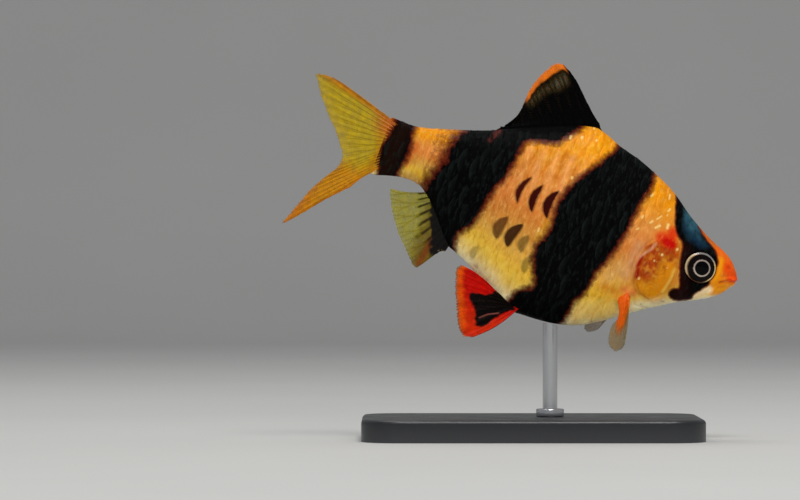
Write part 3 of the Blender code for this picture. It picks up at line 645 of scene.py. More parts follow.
@dataclass(frozen=True)
class Glint:
    """A painted highlight: a bright short stroke, whose lean is its angle in degrees from the way to the
    snout up.
    """

    place: Pair
    reach: float
    half: float
    lean: float = 90.0

    def gap(self, sheet: Sheet, place: object) -> bpy.types.NodeSocket:
        """How far the shaded place of the side view lies outside the stroke, below zero inside it."""
        angle = math.radians(self.lean)
        run = (-math.cos(angle), math.sin(angle), 0.0)
        offset = sheet.vector("SUBTRACT", place, (*self.place, 0.0))
        share = sheet.maths("MINIMUM", sheet.vector("DOT_PRODUCT", offset, run), self.reach)
        share = sheet.maths("MAXIMUM", share, -self.reach)
        near = sheet.add("VectorMath", {0: run, "Scale": share}, operation="SCALE")
        beside = sheet.vector("SUBTRACT", offset, near.outputs["Vector"])
        return sheet.maths("SUBTRACT", sheet.vector("LENGTH", beside), self.half)


@dataclass(frozen=True)
class WetSkin:
    """Fish skin under clear slime: painted marks, crisp ragged bars and spots, flecks, fine streaks and
    painted highlights.
    """

    name: str
    growth: float = 0.0
    roughness: float = 0.42
    mottle: float = 0.08
    bump: float = 0.03
    coat: float = 0.07
    specular: float = 0.03
    ragged: tuple[Pair, Pair] = ((0.7, 0.22), (0.24, 0.07))
    fringe: str = "#4c1108"
    fringe_width: float = 0.95
    edge: float = 0.12
    fleck: str = "#ffc850"
    # The colour of the painted glint highlights, and of the painted sparkle highlights on the bars
    gold: str = "#ffdd88"
    bar_glint_colour: str = "#171e1b"
    # How steeply the back falls, and between which heights over the snout the painted sparkle highlights on
    # the bars fade
    back: Triple = (0.367, 19.0, 21.0)

    def cover(self, sheet: Sheet, gap: object, width: float, share: float = 1.0) -> bpy.types.NodeSocket:
        """How much a shape covers, from a distance that is below zero inside it."""
        return sheet.step(gap, -self.edge, width, share, 0.0)

    def material(self) -> bpy.types.Material:
        """Builds the material."""
        sheet = Sheet(self.name)
        maths = sheet.maths
        place = sheet.read(PLACE, "Vector")
        (wide, push), (narrow, nudge) = self.ragged
        broad = sheet.noise(wide, 2.0)
        fine = sheet.noise(narrow, 2.0)
        wander = maths(
            "ADD", sheet.step(broad, 0.25, 0.75, -push, push), sheet.step(fine, 0.25, 0.75, -nudge, nudge)
        )
        axes = sheet.add("SeparateXYZ", {"Vector": place}).outputs
        stretched = sheet.add("Mapping", {"Vector": place, "Scale": (2.4, 0.9, 1.0)}).outputs[0]
        streaks = sheet.add("TexNoise", {"Vector": stretched, "Scale": 1.0, "Detail": 3.0}).outputs["Fac"]
        trunk = sheet.step(axes[0], 9.0, 16.0, 0.3, 1.0)
        shade = sheet.step(sheet.noise(1.1, 3.0), 0.3, 0.7, 1 - self.mottle, 1 + self.mottle)
        colour = sheet.lay(1.0, sheet.read(MARKS, "Color"), shade, "MULTIPLY")
        dark = maths("MULTIPLY", sheet.step(streaks, 0.5, 0.68, 0.0, 0.5), trunk)
        colour = sheet.lay(dark, colour, (0.8, 0.6, 0.32, 1.0), "MULTIPLY")
        light = maths("MULTIPLY", sheet.step(streaks, 0.47, 0.3, 0.0, 0.2), trunk)
        colour = sheet.lay(light, colour, (1.0, 0.62, 0.18, 1.0), "SCREEN")
        specks = sheet.step(sheet.noise(0.2, 1.0), 0.68, 0.76, 0.0, 0.7)
        specks = maths("MULTIPLY", specks, sheet.read(GLEAM))
        colour = sheet.lay(specks, colour, self.fleck)
        loose = maths("MULTIPLY", wander, 0.25)
        for spot in Pattern.SPOTS:
            gap = maths("ADD", spot.gap(sheet, axes[0], axes[1]), loose)
            cover = self.cover(sheet, gap, 2 * self.edge, spot.strength)
            colour = sheet.lay(cover, colour, spot.colour)
        bar = maths("ADD", sheet.read(BAR), wander)
        past = sheet.step(bar, 0.0, self.fringe_width, 0.0, 1.0)
        halo = maths("SUBTRACT", 1.0, maths("MULTIPLY", past, past))
        colour = sheet.lay(halo, colour, self.fringe)
        core = self.cover(sheet, bar, self.edge)
        # Painted sparkle highlights: pale specks along the streaks on the black bars, fading towards the back
        slope, low, high = self.back
        plain = sheet.step(maths("MULTIPLY_ADD", axes[0], slope, axes[1]), low, high, 0.5, 0.05)
        bar_glint_highlights = maths("MULTIPLY", sheet.step(streaks, 0.52, 0.66, 0.0, 1.0), plain)
        ink = sheet.lay(bar_glint_highlights, sheet.read(INK, "Color"), self.bar_glint_colour)
        colour = sheet.lay(core, colour, ink)
        # Painted highlights: bright gold strokes at the glints
        near = 1.0
        for glint in Pattern.GLINTS:
            near = maths("MINIMUM", near, glint.gap(sheet, place))
        painted_glint = self.cover(sheet, maths("ADD", near, loose), self.edge, 0.8)
        colour = sheet.lay(painted_glint, colour, self.gold)
        normal = sheet.bump(fine, self.bump, sheet.bump(broad, self.bump))
        if self.growth:
            rings = maths("SINE", maths("MULTIPLY", sheet.read(GROWTH), self.growth))
            normal = sheet.bump(rings, 0.006, normal)
        rough = sheet.step(fine, 0.3, 0.7, self.roughness - 0.08, self.roughness + 0.1)
        rough = maths("ADD", rough, maths("MULTIPLY", core, 0.15))
        clean = maths("SUBTRACT", 1.0, maths("MULTIPLY", core, 0.9))
        sheet.shade(Base_Color=colour, Roughness=rough, Normal=normal)
        sheet.shade(Metallic=maths("MULTIPLY", specks, 0.5))
        sheet.shade(Coat_Weight=maths("MULTIPLY", clean, self.coat), Coat_Roughness=0.16)
        sheet.shade(Specular_IOR_Level=self.specular)
        sheet.shade(Subsurface_Weight=0.05, Subsurface_Scale=0.6 * MM, Subsurface_Radius=(1.0, 0.35, 0.15))
        return sheet.material


@dataclass(frozen=True)
class Membrane:
    """A thin fin: painted marks with their own clearness, and fine cross joints along its rays."""

    name: str
    roughness: float = 0.42
    joint: float = 0.34
    coat: float = 0.06
    specular: float = 0.15

    def material(self) -> bpy.types.Material:
        """Builds the material."""
        sheet = Sheet(self.name)
        wave = sheet.maths("SINE", sheet.maths("MULTIPLY", sheet.read("Reach"), math.tau / self.joint), 0.0)
        joints = sheet.maths("MULTIPLY", sheet.step(wave, 0.55, 0.95, 0.0, 1.0), sheet.read("Ray"))
        broad = sheet.noise(0.7, 3.0)
        fine = sheet.noise(0.12, 2.0)
        shade = sheet.step(broad, 0.3, 0.7, 0.86, 1.14)
        colour = sheet.lay(1.0, sheet.read(MARKS, "Color"), shade, "MULTIPLY")
        colour = sheet.lay(sheet.maths("MULTIPLY", joints, 0.35), colour, (0.05, 0.025, 0.01, 1.0))
        clear = sheet.step(broad, 0.3, 0.7, -0.05, 0.05)
        alpha = sheet.maths("ADD", sheet.read(MARKS, "Alpha"), clear)
        alpha = sheet.add("Clamp", {"Value": alpha}).outputs[0]
        height = sheet.maths("SUBTRACT", sheet.maths("MULTIPLY", fine, 0.4), joints)
        sheet.shade(Base_Color=colour, Roughness=self.roughness, Alpha=alpha, Normal=sheet.bump(height, 0.02))
        sheet.shade(Coat_Weight=self.coat, Coat_Roughness=0.2, Specular_IOR_Level=self.specular)
        sheet.shade(Subsurface_Weight=0.12, Subsurface_Scale=0.5 * MM, Subsurface_Radius=(1.0, 0.5, 0.2))
        return sheet.material


@dataclass(frozen=True)
class EyeGlaze:
    """A wet eye: painted rings under a clear, sharply shining film."""

    name: str = "wet_eye"

    def material(self) -> bpy.types.Material:
        """Builds the material."""
        sheet = Sheet(self.name)
        gleam = sheet.read(GLEAM)
        fibres = sheet.step(sheet.noise(0.13, 3.0), 0.3, 0.7, 0.8, 1.15)
        colour = sheet.lay(1.0, sheet.read(MARKS, "Color"), fibres, "MULTIPLY")
        sheet.shade(Base_Color=colour, Metallic=sheet.maths("MULTIPLY", gleam, 0.3))
        sheet.shade(Roughness=sheet.step(gleam, 0.0, 1.0, 0.14, 0.3))
        sheet.shade(Coat_Weight=0.06, Coat_Roughness=0.04, Specular_IOR_Level=0.06)
        return sheet.material


@dataclass(frozen=True)
class SatinEnamel:
    """Satin black paint on the stand's base: a faint orange peel, fine dust and paler worn edges."""

    name: str = "satin_black_enamel"
    colour: str = "#1d1e20"

    def material(self) -> bpy.types.Material:
        """Builds the material."""
        sheet = Sheet(self.name)
        peel = sheet.noise(0.45, 1.0)
        dust = sheet.step(sheet.noise(0.25, 4.0, 0.7), 0.62, 0.8, 0.0, 0.25)
        worn = sheet.step(sheet.add("NewGeometry").outputs["Pointiness"], 0.53, 0.62, 0.0, 0.5)
        colour = sheet.lay(dust, self.colour, "#4a4a4c")
        colour = sheet.lay(worn, colour, "#5d5e60")
        rough = sheet.step(sheet.noise(3.0, 3.0), 0.3, 0.7, 0.34, 0.46)
        sheet.shade(Base_Color=colour, Roughness=rough, Normal=sheet.bump(peel, 0.02))
        sheet.shade(Coat_Weight=0.15, Coat_Roughness=0.25)
        return sheet.material


@dataclass(frozen=True)
class DrawnSteel:
    """Polished steel rod with fine marks round it."""

    name: str = "drawn_steel"

    def material(self) -> bpy.types.Material:
        """Builds the material."""
        sheet = Sheet(self.name)
        place = sheet.add("TexCoord").outputs["Object"]
        stretch = sheet.add("Mapping", {"Vector": place, "Scale": (300.0, 300.0, 9000.0)}).outputs[0]
        marks = sheet.add("TexNoise", {"Vector": stretch, "Scale": 1.0, "Detail": 3.0}).outputs["Fac"]
        colour = sheet.lay(marks, (0.58, 0.58, 0.59, 1.0), (0.66, 0.66, 0.67, 1.0))
        rough = sheet.step(marks, 0.3, 0.7, 0.2, 0.26)
        sheet.shade(Base_Color=colour, Metallic=1.0, Roughness=rough, Normal=sheet.bump(marks, 0.001))
        return sheet.material


@dataclass(frozen=True)
class PaleSweep:
    """The matt paper under and behind the model."""

    name: str = "pale_paper"
    colour: str = "#cbcac6"

    def material(self) -> bpy.types.Material:
        """Builds the material."""
        sheet = Sheet(self.name)
        tone = sheet.step(sheet.noise(60.0, 2.0), 0.3, 0.7, 0.97, 1.0)
        colour = sheet.lay(1.0, self.colour, tone, "MULTIPLY")
        sheet.shade(Base_Color=colour, Roughness=0.9)
        return sheet.material


@dataclass(frozen=True)
class Dab:
    """One soft stroke of paint in the side view."""

    colour: str
    path: tuple[Pair, ...]
    width: float
    soft: float
    strength: float = 1.0

    def cover(self, places: Array) -> Array:
        """How much of the colour each place takes."""
        gap = path_distance(places, self.path)
        return self.strength * ease(self.width + self.soft, self.width - self.soft, gap)

    def lay(self, colour: Array, places: Array) -> Array:
        """The colours with this stroke over them."""
        return blend(colour, self.colour, self.cover(places))


@dataclass
class Painted:
    """What the wet skin's material reads at each point of a mesh."""

    marks: Array
    ink: Array
    places: Array
    values: dict[str, Array]

    def write(self, obj: bpy.types.Object) -> None:
        """Stores everything on the object's mesh."""
        for name, colours in ((MARKS, self.marks), (INK, self.ink)):
            write_marks(obj, np.clip(colours, 0.0, 1.0), name=name)
        write_places(obj, self.places)
        for name, values in self.values.items():
            write_values(obj, name, values)


class Pattern:
    """The tiger barb's colours over head and trunk, as a function of the side view."""

    # Belly to back, by the share of the depth
    FLANK = (
        (0.00, "#fff0c4"), (0.05, "#f8dc98"), (0.14, "#f0c450"), (0.26, "#e0aa42"), (0.38, "#cd8c3a"),
        (0.50, "#cf7c34"), (0.62, "#d8863e"), (0.74, "#de8e34"), (0.86, "#e69312"), (1.00, "#e08a08"),
    )
    BLACK = "#030303"
    EYE_BAR = (
        (11.5, 9.5), (11.3, 7.6), (11.05, 6.5), (10.8, 5.5), (10.5, 4.5), (10.2, 3.5), (9.8, 2.7),
        (9.2, 2.1), (8.6, 1.7), (8.25, 1.2), (8.1, 0.3), (8.0, -0.5), (7.8, -1.3), (7.5, -2.2), (7.2, -3.0),
        (6.95, -3.6), (6.75, -4.2), (6.8, -4.6), (7.5, -4.8), (7.95, -5.3), (7.5, -5.95), (6.4, -5.92),
        (5.3, -5.4), (4.75, -5.05), (4.9, -4.7), (4.5, -4.05), (4.0, -3.4), (3.6, -2.9), (3.3, -2.2),
        (3.7, -0.8), (3.1, 0.4), (3.4, 1.0), (3.9, 1.7), (4.3, 2.2), (5.5, 2.9), (6.5, 3.6), (7.5, 4.6),
        (7.8, 7.0),
    )
    NAPE_BLUE = (
        (9.9, 8.5), (9.5, 5.6), (9.4, 4.4), (9.1, 3.5), (8.3, 2.7), (7.2, 2.0), (6.0, 1.8), (5.0, 1.95),
        (4.6, 2.25), (6.1, 2.8), (6.6, 3.5), (7.3, 4.7), (7.6, 6.5),
    )
    BODY_BAR = (
        (15.2, 12.0), (15.5, 9.3), (15.2, 7.0), (15.9, 5.0), (16.2, 3.0), (16.5, 0.0), (17.0, -2.0),
        (17.5, -4.0), (18.5, -6.0), (18.7, -8.0), (19.0, -9.5), (19.9, -11.0), (20.0, -12.6), (20.3, -14.0),
        (21.0, -17.0), (27.9, -17.0), (27.7, -14.4), (27.4, -13.1), (26.9, -12.2), (26.0, -11.7),
        (25.1, -11.3), (24.95, -10.2), (25.75, -9.2), (26.5, -7.5), (26.75, -5.55), (25.8, -3.9),
        (25.6, -1.3), (26.05, 0.5), (24.95, 3.8), (23.6, 6.0), (22.1, 8.1), (20.55, 10.8), (20.4, 13.0),
    )
    DORSAL_BAR = (
        (26.2, 13.0), (27.0, 11.2), (28.3, 9.6), (29.2, 8.5), (31.0, 8.2), (33.0, 7.6), (33.6, 6.0),
        (33.7, 4.5), (34.2, 2.0), (35.0, 0.0), (35.5, -2.0), (35.8, -4.0), (36.2, -6.0), (37.3, -7.0),
        (37.8, -8.0), (37.4, -9.4), (37.0, -12.0), (42.5, -12.0), (42.6, -8.0), (43.2, -5.6), (43.6, -4.1),
        (43.2, -3.0), (43.2, -1.8), (42.6, -0.8), (42.0, 1.0), (42.3, 2.5), (41.6, 4.5), (40.8, 6.1),
        (40.6, 9.0), (36.0, 11.0),
    )
    TAIL_BAR = (
        (47.9, 6.0), (48.0, 3.0), (47.6, 1.5), (47.5, 0.0), (47.9, -1.5), (48.0, -3.2), (48.2, -5.0),
        (50.2, -5.0), (50.1, -3.6), (50.6, -2.4), (51.0, -1.0), (50.8, 0.4), (50.4, 2.0), (50.3, 4.2),
        (50.3, 6.0),
    )
    # Each bar's outline and how steeply its distance rises: a steep one has a sharp, even edge
    BARS = ((EYE_BAR, 2.9), (BODY_BAR, 1.0), (DORSAL_BAR, 1.0), (TAIL_BAR, 1.1))
    FAR = 1.5
    GILL_COVER = (
        (8.1, 1.0), (10.2, 1.9), (12.3, 0.55), (13.4, -1.6), (13.6, -4.1), (12.8, -6.2), (11.2, -7.3),
        (9.3, -7.05), (8.2, -5.8), (7.8, -3.0),
    )
    HEAD_PAINT = (
        Dab("#e07c0c", ((2.4, 0.8), (2.2, -1.6), (1.4, -2.6)), 1.0, 1.2),
        Dab("#cc5e0c", ((3.8, 2.3), (7.3, 4.9)), 0.95, 0.5),
        Dab("#ec640e", ((1.4, 1.2), (3.2, 2.2)), 0.6, 0.7),
        Dab("#e84c0c", ((0.2, -0.4), (1.6, 0.4)), 0.9, 0.8),
        Dab("#a82408", ((1.5, 0.6),), 0.22, 0.3, 0.6),
        Dab("#ff5212", ((0.3, -0.75), (0.8, -0.7)), 0.3, 0.35),
        Dab("#f69a0c", ((2.75, 1.1), (2.45, -0.4), (2.6, -2.3)), 0.3, 0.4),
        Dab("#c02808", ((0.7, -0.82), (1.3, -1.2), (1.95, -1.75)), 0.08, 0.16, 0.8),
        Dab("#c83008", ((-0.3, -0.85), (0.7, -1.1)), 0.08, 0.2, 0.8),
        Dab("#f89c10", ((0.6, -2.2), (2.6, -3.2)), 0.4, 0.5),
        Dab("#ffe0ac", ((3.0, -3.2), (3.9, -3.9), (4.7, -4.7)), 0.5, 0.35),
        # Painted edge light: the thin cream line along the head's lower edge. The broad cream under the
        # throat after it is partly its own pale colour, partly painted light from below.
        Dab("#fff0c4", ((2.4, -4.2), (4.6, -5.4), (7.0, -6.6)), 0.3, 0.3),
        Dab("#fff0bc", ((8.0, -7.3), (11.4, -8.9)), 0.7, 0.6),
        Dab("#6a5222", ((10.9, -8.15),), 0.1, 0.16, 0.7),
        Dab("#6a5222", ((8.1, -6.75), (8.4, -6.8)), 0.08, 0.14, 0.6),
    )
    GILL_PAINT = (
        Dab("#b0420a", ((11.6, -0.8), (11.9, -4.2)), 0.9, 0.9),
        Dab("#d8840a", ((9.2, -2.7), (9.9, -6.2)), 1.1, 0.7),
        Dab("#e08e0c", ((9.8, -6.3), (12.0, -5.8)), 0.6, 0.7),
        Dab("#a42806", ((9.0, -0.2), (10.4, 0.0)), 0.5, 0.8, 0.85),
        Dab("#f0c050", ((8.3, -2.2), (8.4, -3.8), (8.8, -5.6)), 0.16, 0.25, 0.85),
    )
    GILL_EDGE = (
        Dab("#d8300a", ((10.2, 2.3), (10.3, 1.4), (11.4, 1.2)), 0.85, 0.6, 0.95),
        Dab("#c00a04", ((9.8, 0.75), (10.6, 0.85)), 0.62, 0.4),
        Dab("#8c1206", ((9.25, -1.15),), 0.26, 0.3, 0.9),
        Dab("#9a1c08", ((10.1, -0.6),), 0.24, 0.28, 0.9),
        Dab("#a02a0e", ((12.2, -0.2), (12.7, -0.5), (13.0, -0.8)), 0.12, 0.2, 0.85),
        Dab("#960a03", ((13.1, -2.1), (13.2, -3.5), (12.85, -4.9)), 0.24, 0.18),
        Dab("#dca080", ((11.9, 0.2), (12.25, -0.7), (12.9, -1.5), (13.35, -2.2)), 0.1, 0.2, 0.8),
        Dab("#d08a60", ((13.35, -2.2), (13.6, -3.6), (13.3, -5.0)), 0.05, 0.12, 0.8),
        Dab("#8a4a10", ((12.6, -5.7), (11.6, -6.8), (10.2, -7.15)), 0.06, 0.16, 0.7),
    )
    SHOULDER_PAINT = (
        Dab("#cf9060", ((13.9, -1.0), (14.3, -5.0)), 0.7, 0.9, 0.75),
        Dab("#e2ac66", ((15.2, -4.2), (16.4, -6.2)), 0.5, 0.9, 0.7),
        Dab("#d4603a", ((13.7, -7.2), (12.4, -7.1)), 0.5, 0.6, 0.7),
        Dab("#cf7a10", ((16.6, -7.7), (14.6, -8.0)), 0.6, 0.8, 0.8),
        Dab("#e2aa24", ((17.6, -8.8), (15.6, -9.0)), 0.6, 0.7, 0.75),
        Dab("#f0c45c", ((14.8, -10.4), (18.6, -12.8)), 1.2, 1.4, 0.75),
        Dab("#cf7418", ((12.6, 8.2), (12.9, 5.0)), 0.5, 1.0, 0.5),
        Dab("#dc8a08", ((43.4, 5.2), (47.6, 4.2)), 0.7, 1.2, 0.8),
        Dab("#bc480e", ((46.9, 1.6), (47.2, -1.2)), 0.4, 0.6, 0.8),
        Dab("#c4521c", ((42.6, 1.6), (42.9, 0.2)), 0.3, 0.5, 0.8),
        Dab("#c08a00", ((44.4, -2.2), (47.6, -2.8)), 0.6, 0.9, 0.9),
        Dab("#b87a10", ((43.0, -2.9), (44.6, -3.3), (47.6, -3.9)), 0.8, 0.7, 0.85),
        Dab("#c07a10", ((51.2, 3.4), (51.6, -3.6)), 0.4, 0.6, 0.9),
        Dab("#cc8f1a", ((26.4, -2.0), (26.9, -4.4)), 0.5, 0.7, 0.8),
        Dab("#bc6c30", ((31.6, 4.6), (33.2, 1.0), (33.8, -2.6)), 0.9, 1.6, 0.55),
        Dab("#9a5a30", ((36.9, -7.0), (37.0, -7.8)), 0.3, 0.3, 0.6),
        Dab("#7a4628", ((25.7, -10.3), (25.8, -11.9)), 0.22, 0.35, 0.8),
        Dab("#b8540c", ((50.9, 3.8), (51.1, 2.0)), 0.4, 0.4),
        Dab("#a8800c", ((51.4, 1.0), (51.3, -2.4)), 0.4, 0.4),
        Dab("#7a1c08", ((33.7, -10.9), (33.2, -11.1)), 0.12, 0.25, 0.8),
        Dab("#c4601a", ((34.6, -11.3), (31.2, -12.4)), 0.25, 0.5, 0.6),
    )
    FIN_FOOT = Dab("#7c342c", ((36.8, 7.3), (37.6, 5.7)), 0.16, 0.3, 0.75)
    EYE_FOOT = Dab("#240806", ((8.4, 0.4), (7.2, -3.6), (6.2, -5.6)), 1.0, 1.2, 0.9)
    TAIL_FOOT = Dab("#1e0c05", ((49.4, 5.0), (49.4, -4.0)), 1.2, 1.0, 0.7)
    SPOTS = (
        Moon("#330704", (26.75, 0.35), 1.95, 0.58, 0.15, 0.65),
        Moon("#360803", (29.0, 0.4), 1.9, 0.5, 0.1, 0.48),
        Moon("#3e0c05", (31.0, 0.9), 1.9, 0.4, 0.3, 0.55),
        Moon("#2a0c06", (30.1, -5.25), 1.75, 0.72, 0.45, 0.5, 0.95),
        Moon("#4e2a10", (32.1, -4.9), 1.6, 0.72, 0.2, 0.42, 0.85),
        Moon("#5c4a1c", (28.5, -5.9), 1.2, 0.55, 0.1, 0.3, 0.7),
        Moon("#6e5c24", (27.1, -8.3), 1.3, 0.5, 0.1, 0.3, 0.65),
        Moon("#7c6a2c", (34.3, -9.2), 0.9, 0.45, 0.1, 0.2, 0.5),
    )
    # Painted highlights, where the scales and the gill cover catch the light
    GLINTS = (
        Glint((14.82, 2.95), 0.12, 0.12, 80), Glint((13.48, 2.73), 0.20, 0.09, 50),
        Glint((12.45, 2.40), 0.33, 0.12, 45), Glint((12.65, 3.63), 0.35, 0.06, 55),
        Glint((11.17, 2.91), 0.25, 0.11, 95), Glint((11.70, 5.04), 0.20, 0.08, 70),
        Glint((11.71, 4.38), 0.08, 0.07, 80), Glint((12.22, 6.77), 0.28, 0.08, 95),
        Glint((14.53, 6.17), 0.20, 0.06, 60), Glint((14.90, 1.20), 0.15, 0.04, 50),
        Glint((27.49, 9.77), 0.15, 0.12), Glint((26.05, 10.29), 0.08, 0.13),
        Glint((24.08, 10.56), 0.05, 0.11), Glint((24.90, 12.05), 0.15, 0.07),
        Glint((25.53, 4.64), 0.08, 0.12), Glint((27.40, -3.45), 0.20, 0.08),
        Glint((8.94, 0.39), 0.04, 0.13), Glint((10.62, -0.97), 0.04, 0.11),
        Glint((11.32, -2.09), 0.04, 0.07), Glint((12.53, -5.00), 0.06, 0.11),
        Glint((9.35, -2.38), 0.03, 0.05),
    )
    STREAK_START = 25.4
    STREAK_PITCH = 1.93

    def __init__(self, body: Body) -> None:
        """Prepares the flank's ramp and the smooth outlines."""
        self.body = body
        self.ramp = spline([share for share, _ in self.FLANK], np.array([linear(c) for _, c in self.FLANK]))
        self.gill_cover = rounded(self.GILL_COVER, 3)
        self.nape_blue = rounded(self.NAPE_BLUE)
        self.bars = [(rounded(outline), steep) for outline, steep in self.BARS]

    def bar(self, places: Array) -> Array:
        """How far each place of the side view lies outside the black bars, below zero on them."""
        along = places[:, 0]
        found = np.full(len(places), self.FAR)
        for outline, steep in self.bars:
            found = np.minimum(found, outline_depth(places, outline) * steep)
        found = found * (1 - 0.45 * ease(38.8, 39.8, along) * ease(45.5, 44.5, along))
        return np.clip(found, -self.FAR, self.FAR)

    def streaks(self, points: Array, places: Array) -> tuple[Array, Array]:
        """The upright orange streaks between the bars and the pale pink ones between them.

        Args:
            points: The points themselves, for the random parts.
            places: Their along and height, (N, 2).

        Returns:
            The cover of the orange and of the pink ones.
        """
        along, height = places.T
        wander = 0.3 * grain(points, 1.4, 51) + 0.12 * grain(points, 0.5, 53)
        phase = (along + 0.05 * (height - 5.0) + wander - self.STREAK_START) / self.STREAK_PITCH
        wave = 0.5 + 0.5 * np.cos(math.tau * phase)
        flank = ease(16.0, 20.0, along) * ease(38.0, 34.0, along)
        field = ease(0.8, 3.0, height) * ease(10.0, 7.5, height) * (0.25 + 0.75 * flank)
        broken = 0.65 + 0.35 * grain(points, 0.8, 52)
        return wave**3 * field * broken, (1 - wave) ** 2 * field * broken * flank * ease(9.0, 6.5, height)

    def paint(self, points: Array) -> Painted:
        """Colours the skin.

        Args:
            points: Places of the plain skin in fish space, (N, 3).

        Returns:
            Everything that the wet skin's material reads.
        """
        places = points[:, [0, 2]] * (-1, 1)
        along, height = places.T
        top, bottom, _, _ = self.body.section(along)
        share = (height - bottom) / np.maximum(top - bottom, 1e-6)
        colour = np.clip(self.ramp(np.clip(share + 0.03 * grain(points, 2.2, 3), 0.0, 1.0)), 0.0, 1.0)
        head = ease(13.4, 11.6, along + 0.25 * height)
        colour = blend(colour, "#d9862a", 0.8 * head * ease(0.1, 0.3, share))
        orange, pink = self.streaks(points, places)
        colour = blend(colour, "#b4580a", 0.75 * orange)
        colour = blend(colour, "#e49a62", 0.75 * pink)
        mottle = ease(0.1, 0.8, grain(points, 0.5, 54)) * ease(7.5, 10.0, height)
        colour = blend(colour, "#f8b018", 0.5 * mottle * ease(19.0, 21.0, along))
        for dab in self.SHOULDER_PAINT + self.HEAD_PAINT:
            colour = dab.lay(colour, places)
        cover = outline_depth(places, self.gill_cover)
        soft = 0.15 + 0.75 * ease(10.8, 8.6, along) + 0.4 * ease(-5.4, -6.6, height)
        plate = ease(0.0, 1.0, 0.5 - 0.5 * cover / soft)
        gill = plain("#b8660e", colour)
        for dab in self.GILL_PAINT:
            gill = dab.lay(gill, places)
        patches = grain(points, 0.5, 5)
        vein = ease(-0.05, 0.4, grain(points, 0.34, 6)) * ease(8.6, 10.2, along) * ease(-5.6, -3.4, height)
        gill = blend(gill, "#8c1e06", 0.5 * vein)
        gill = blend(gill, "#eeaa34", 0.35 * ease(-0.3, -0.75, patches))
        colour = blend(colour, gill, plate)
        for dab in self.GILL_EDGE:
            colour = dab.lay(colour, places)
        jitter = grain(points, 0.7, 11) + 0.6 * grain(points, 0.3, 12)
        blue = ease(0.5, -0.5, outline_depth(places, self.nape_blue) + 0.25 * jitter)
        sheen = plain("#122c40", colour)
        lighter = ease(2.0, 5.5, height + 1.2 * grain(points, 0.8, 21))
        sheen = blend(sheen, "#35606e", 0.85 * lighter)
        ink = plain(self.BLACK, colour)
        for dab in (self.EYE_FOOT, self.TAIL_FOOT, self.FIN_FOOT):
            ink = dab.lay(ink, places)
        ink = blend(ink, sheen, 0.95 * blue)
        bar = self.bar(places)
        gleam = ease(0.0, 0.6, bar) * (0.35 + 0.35 * ease(0.0, 5.0, height))
        return Painted(colour, ink, places, {BAR: bar, GLEAM: gleam})


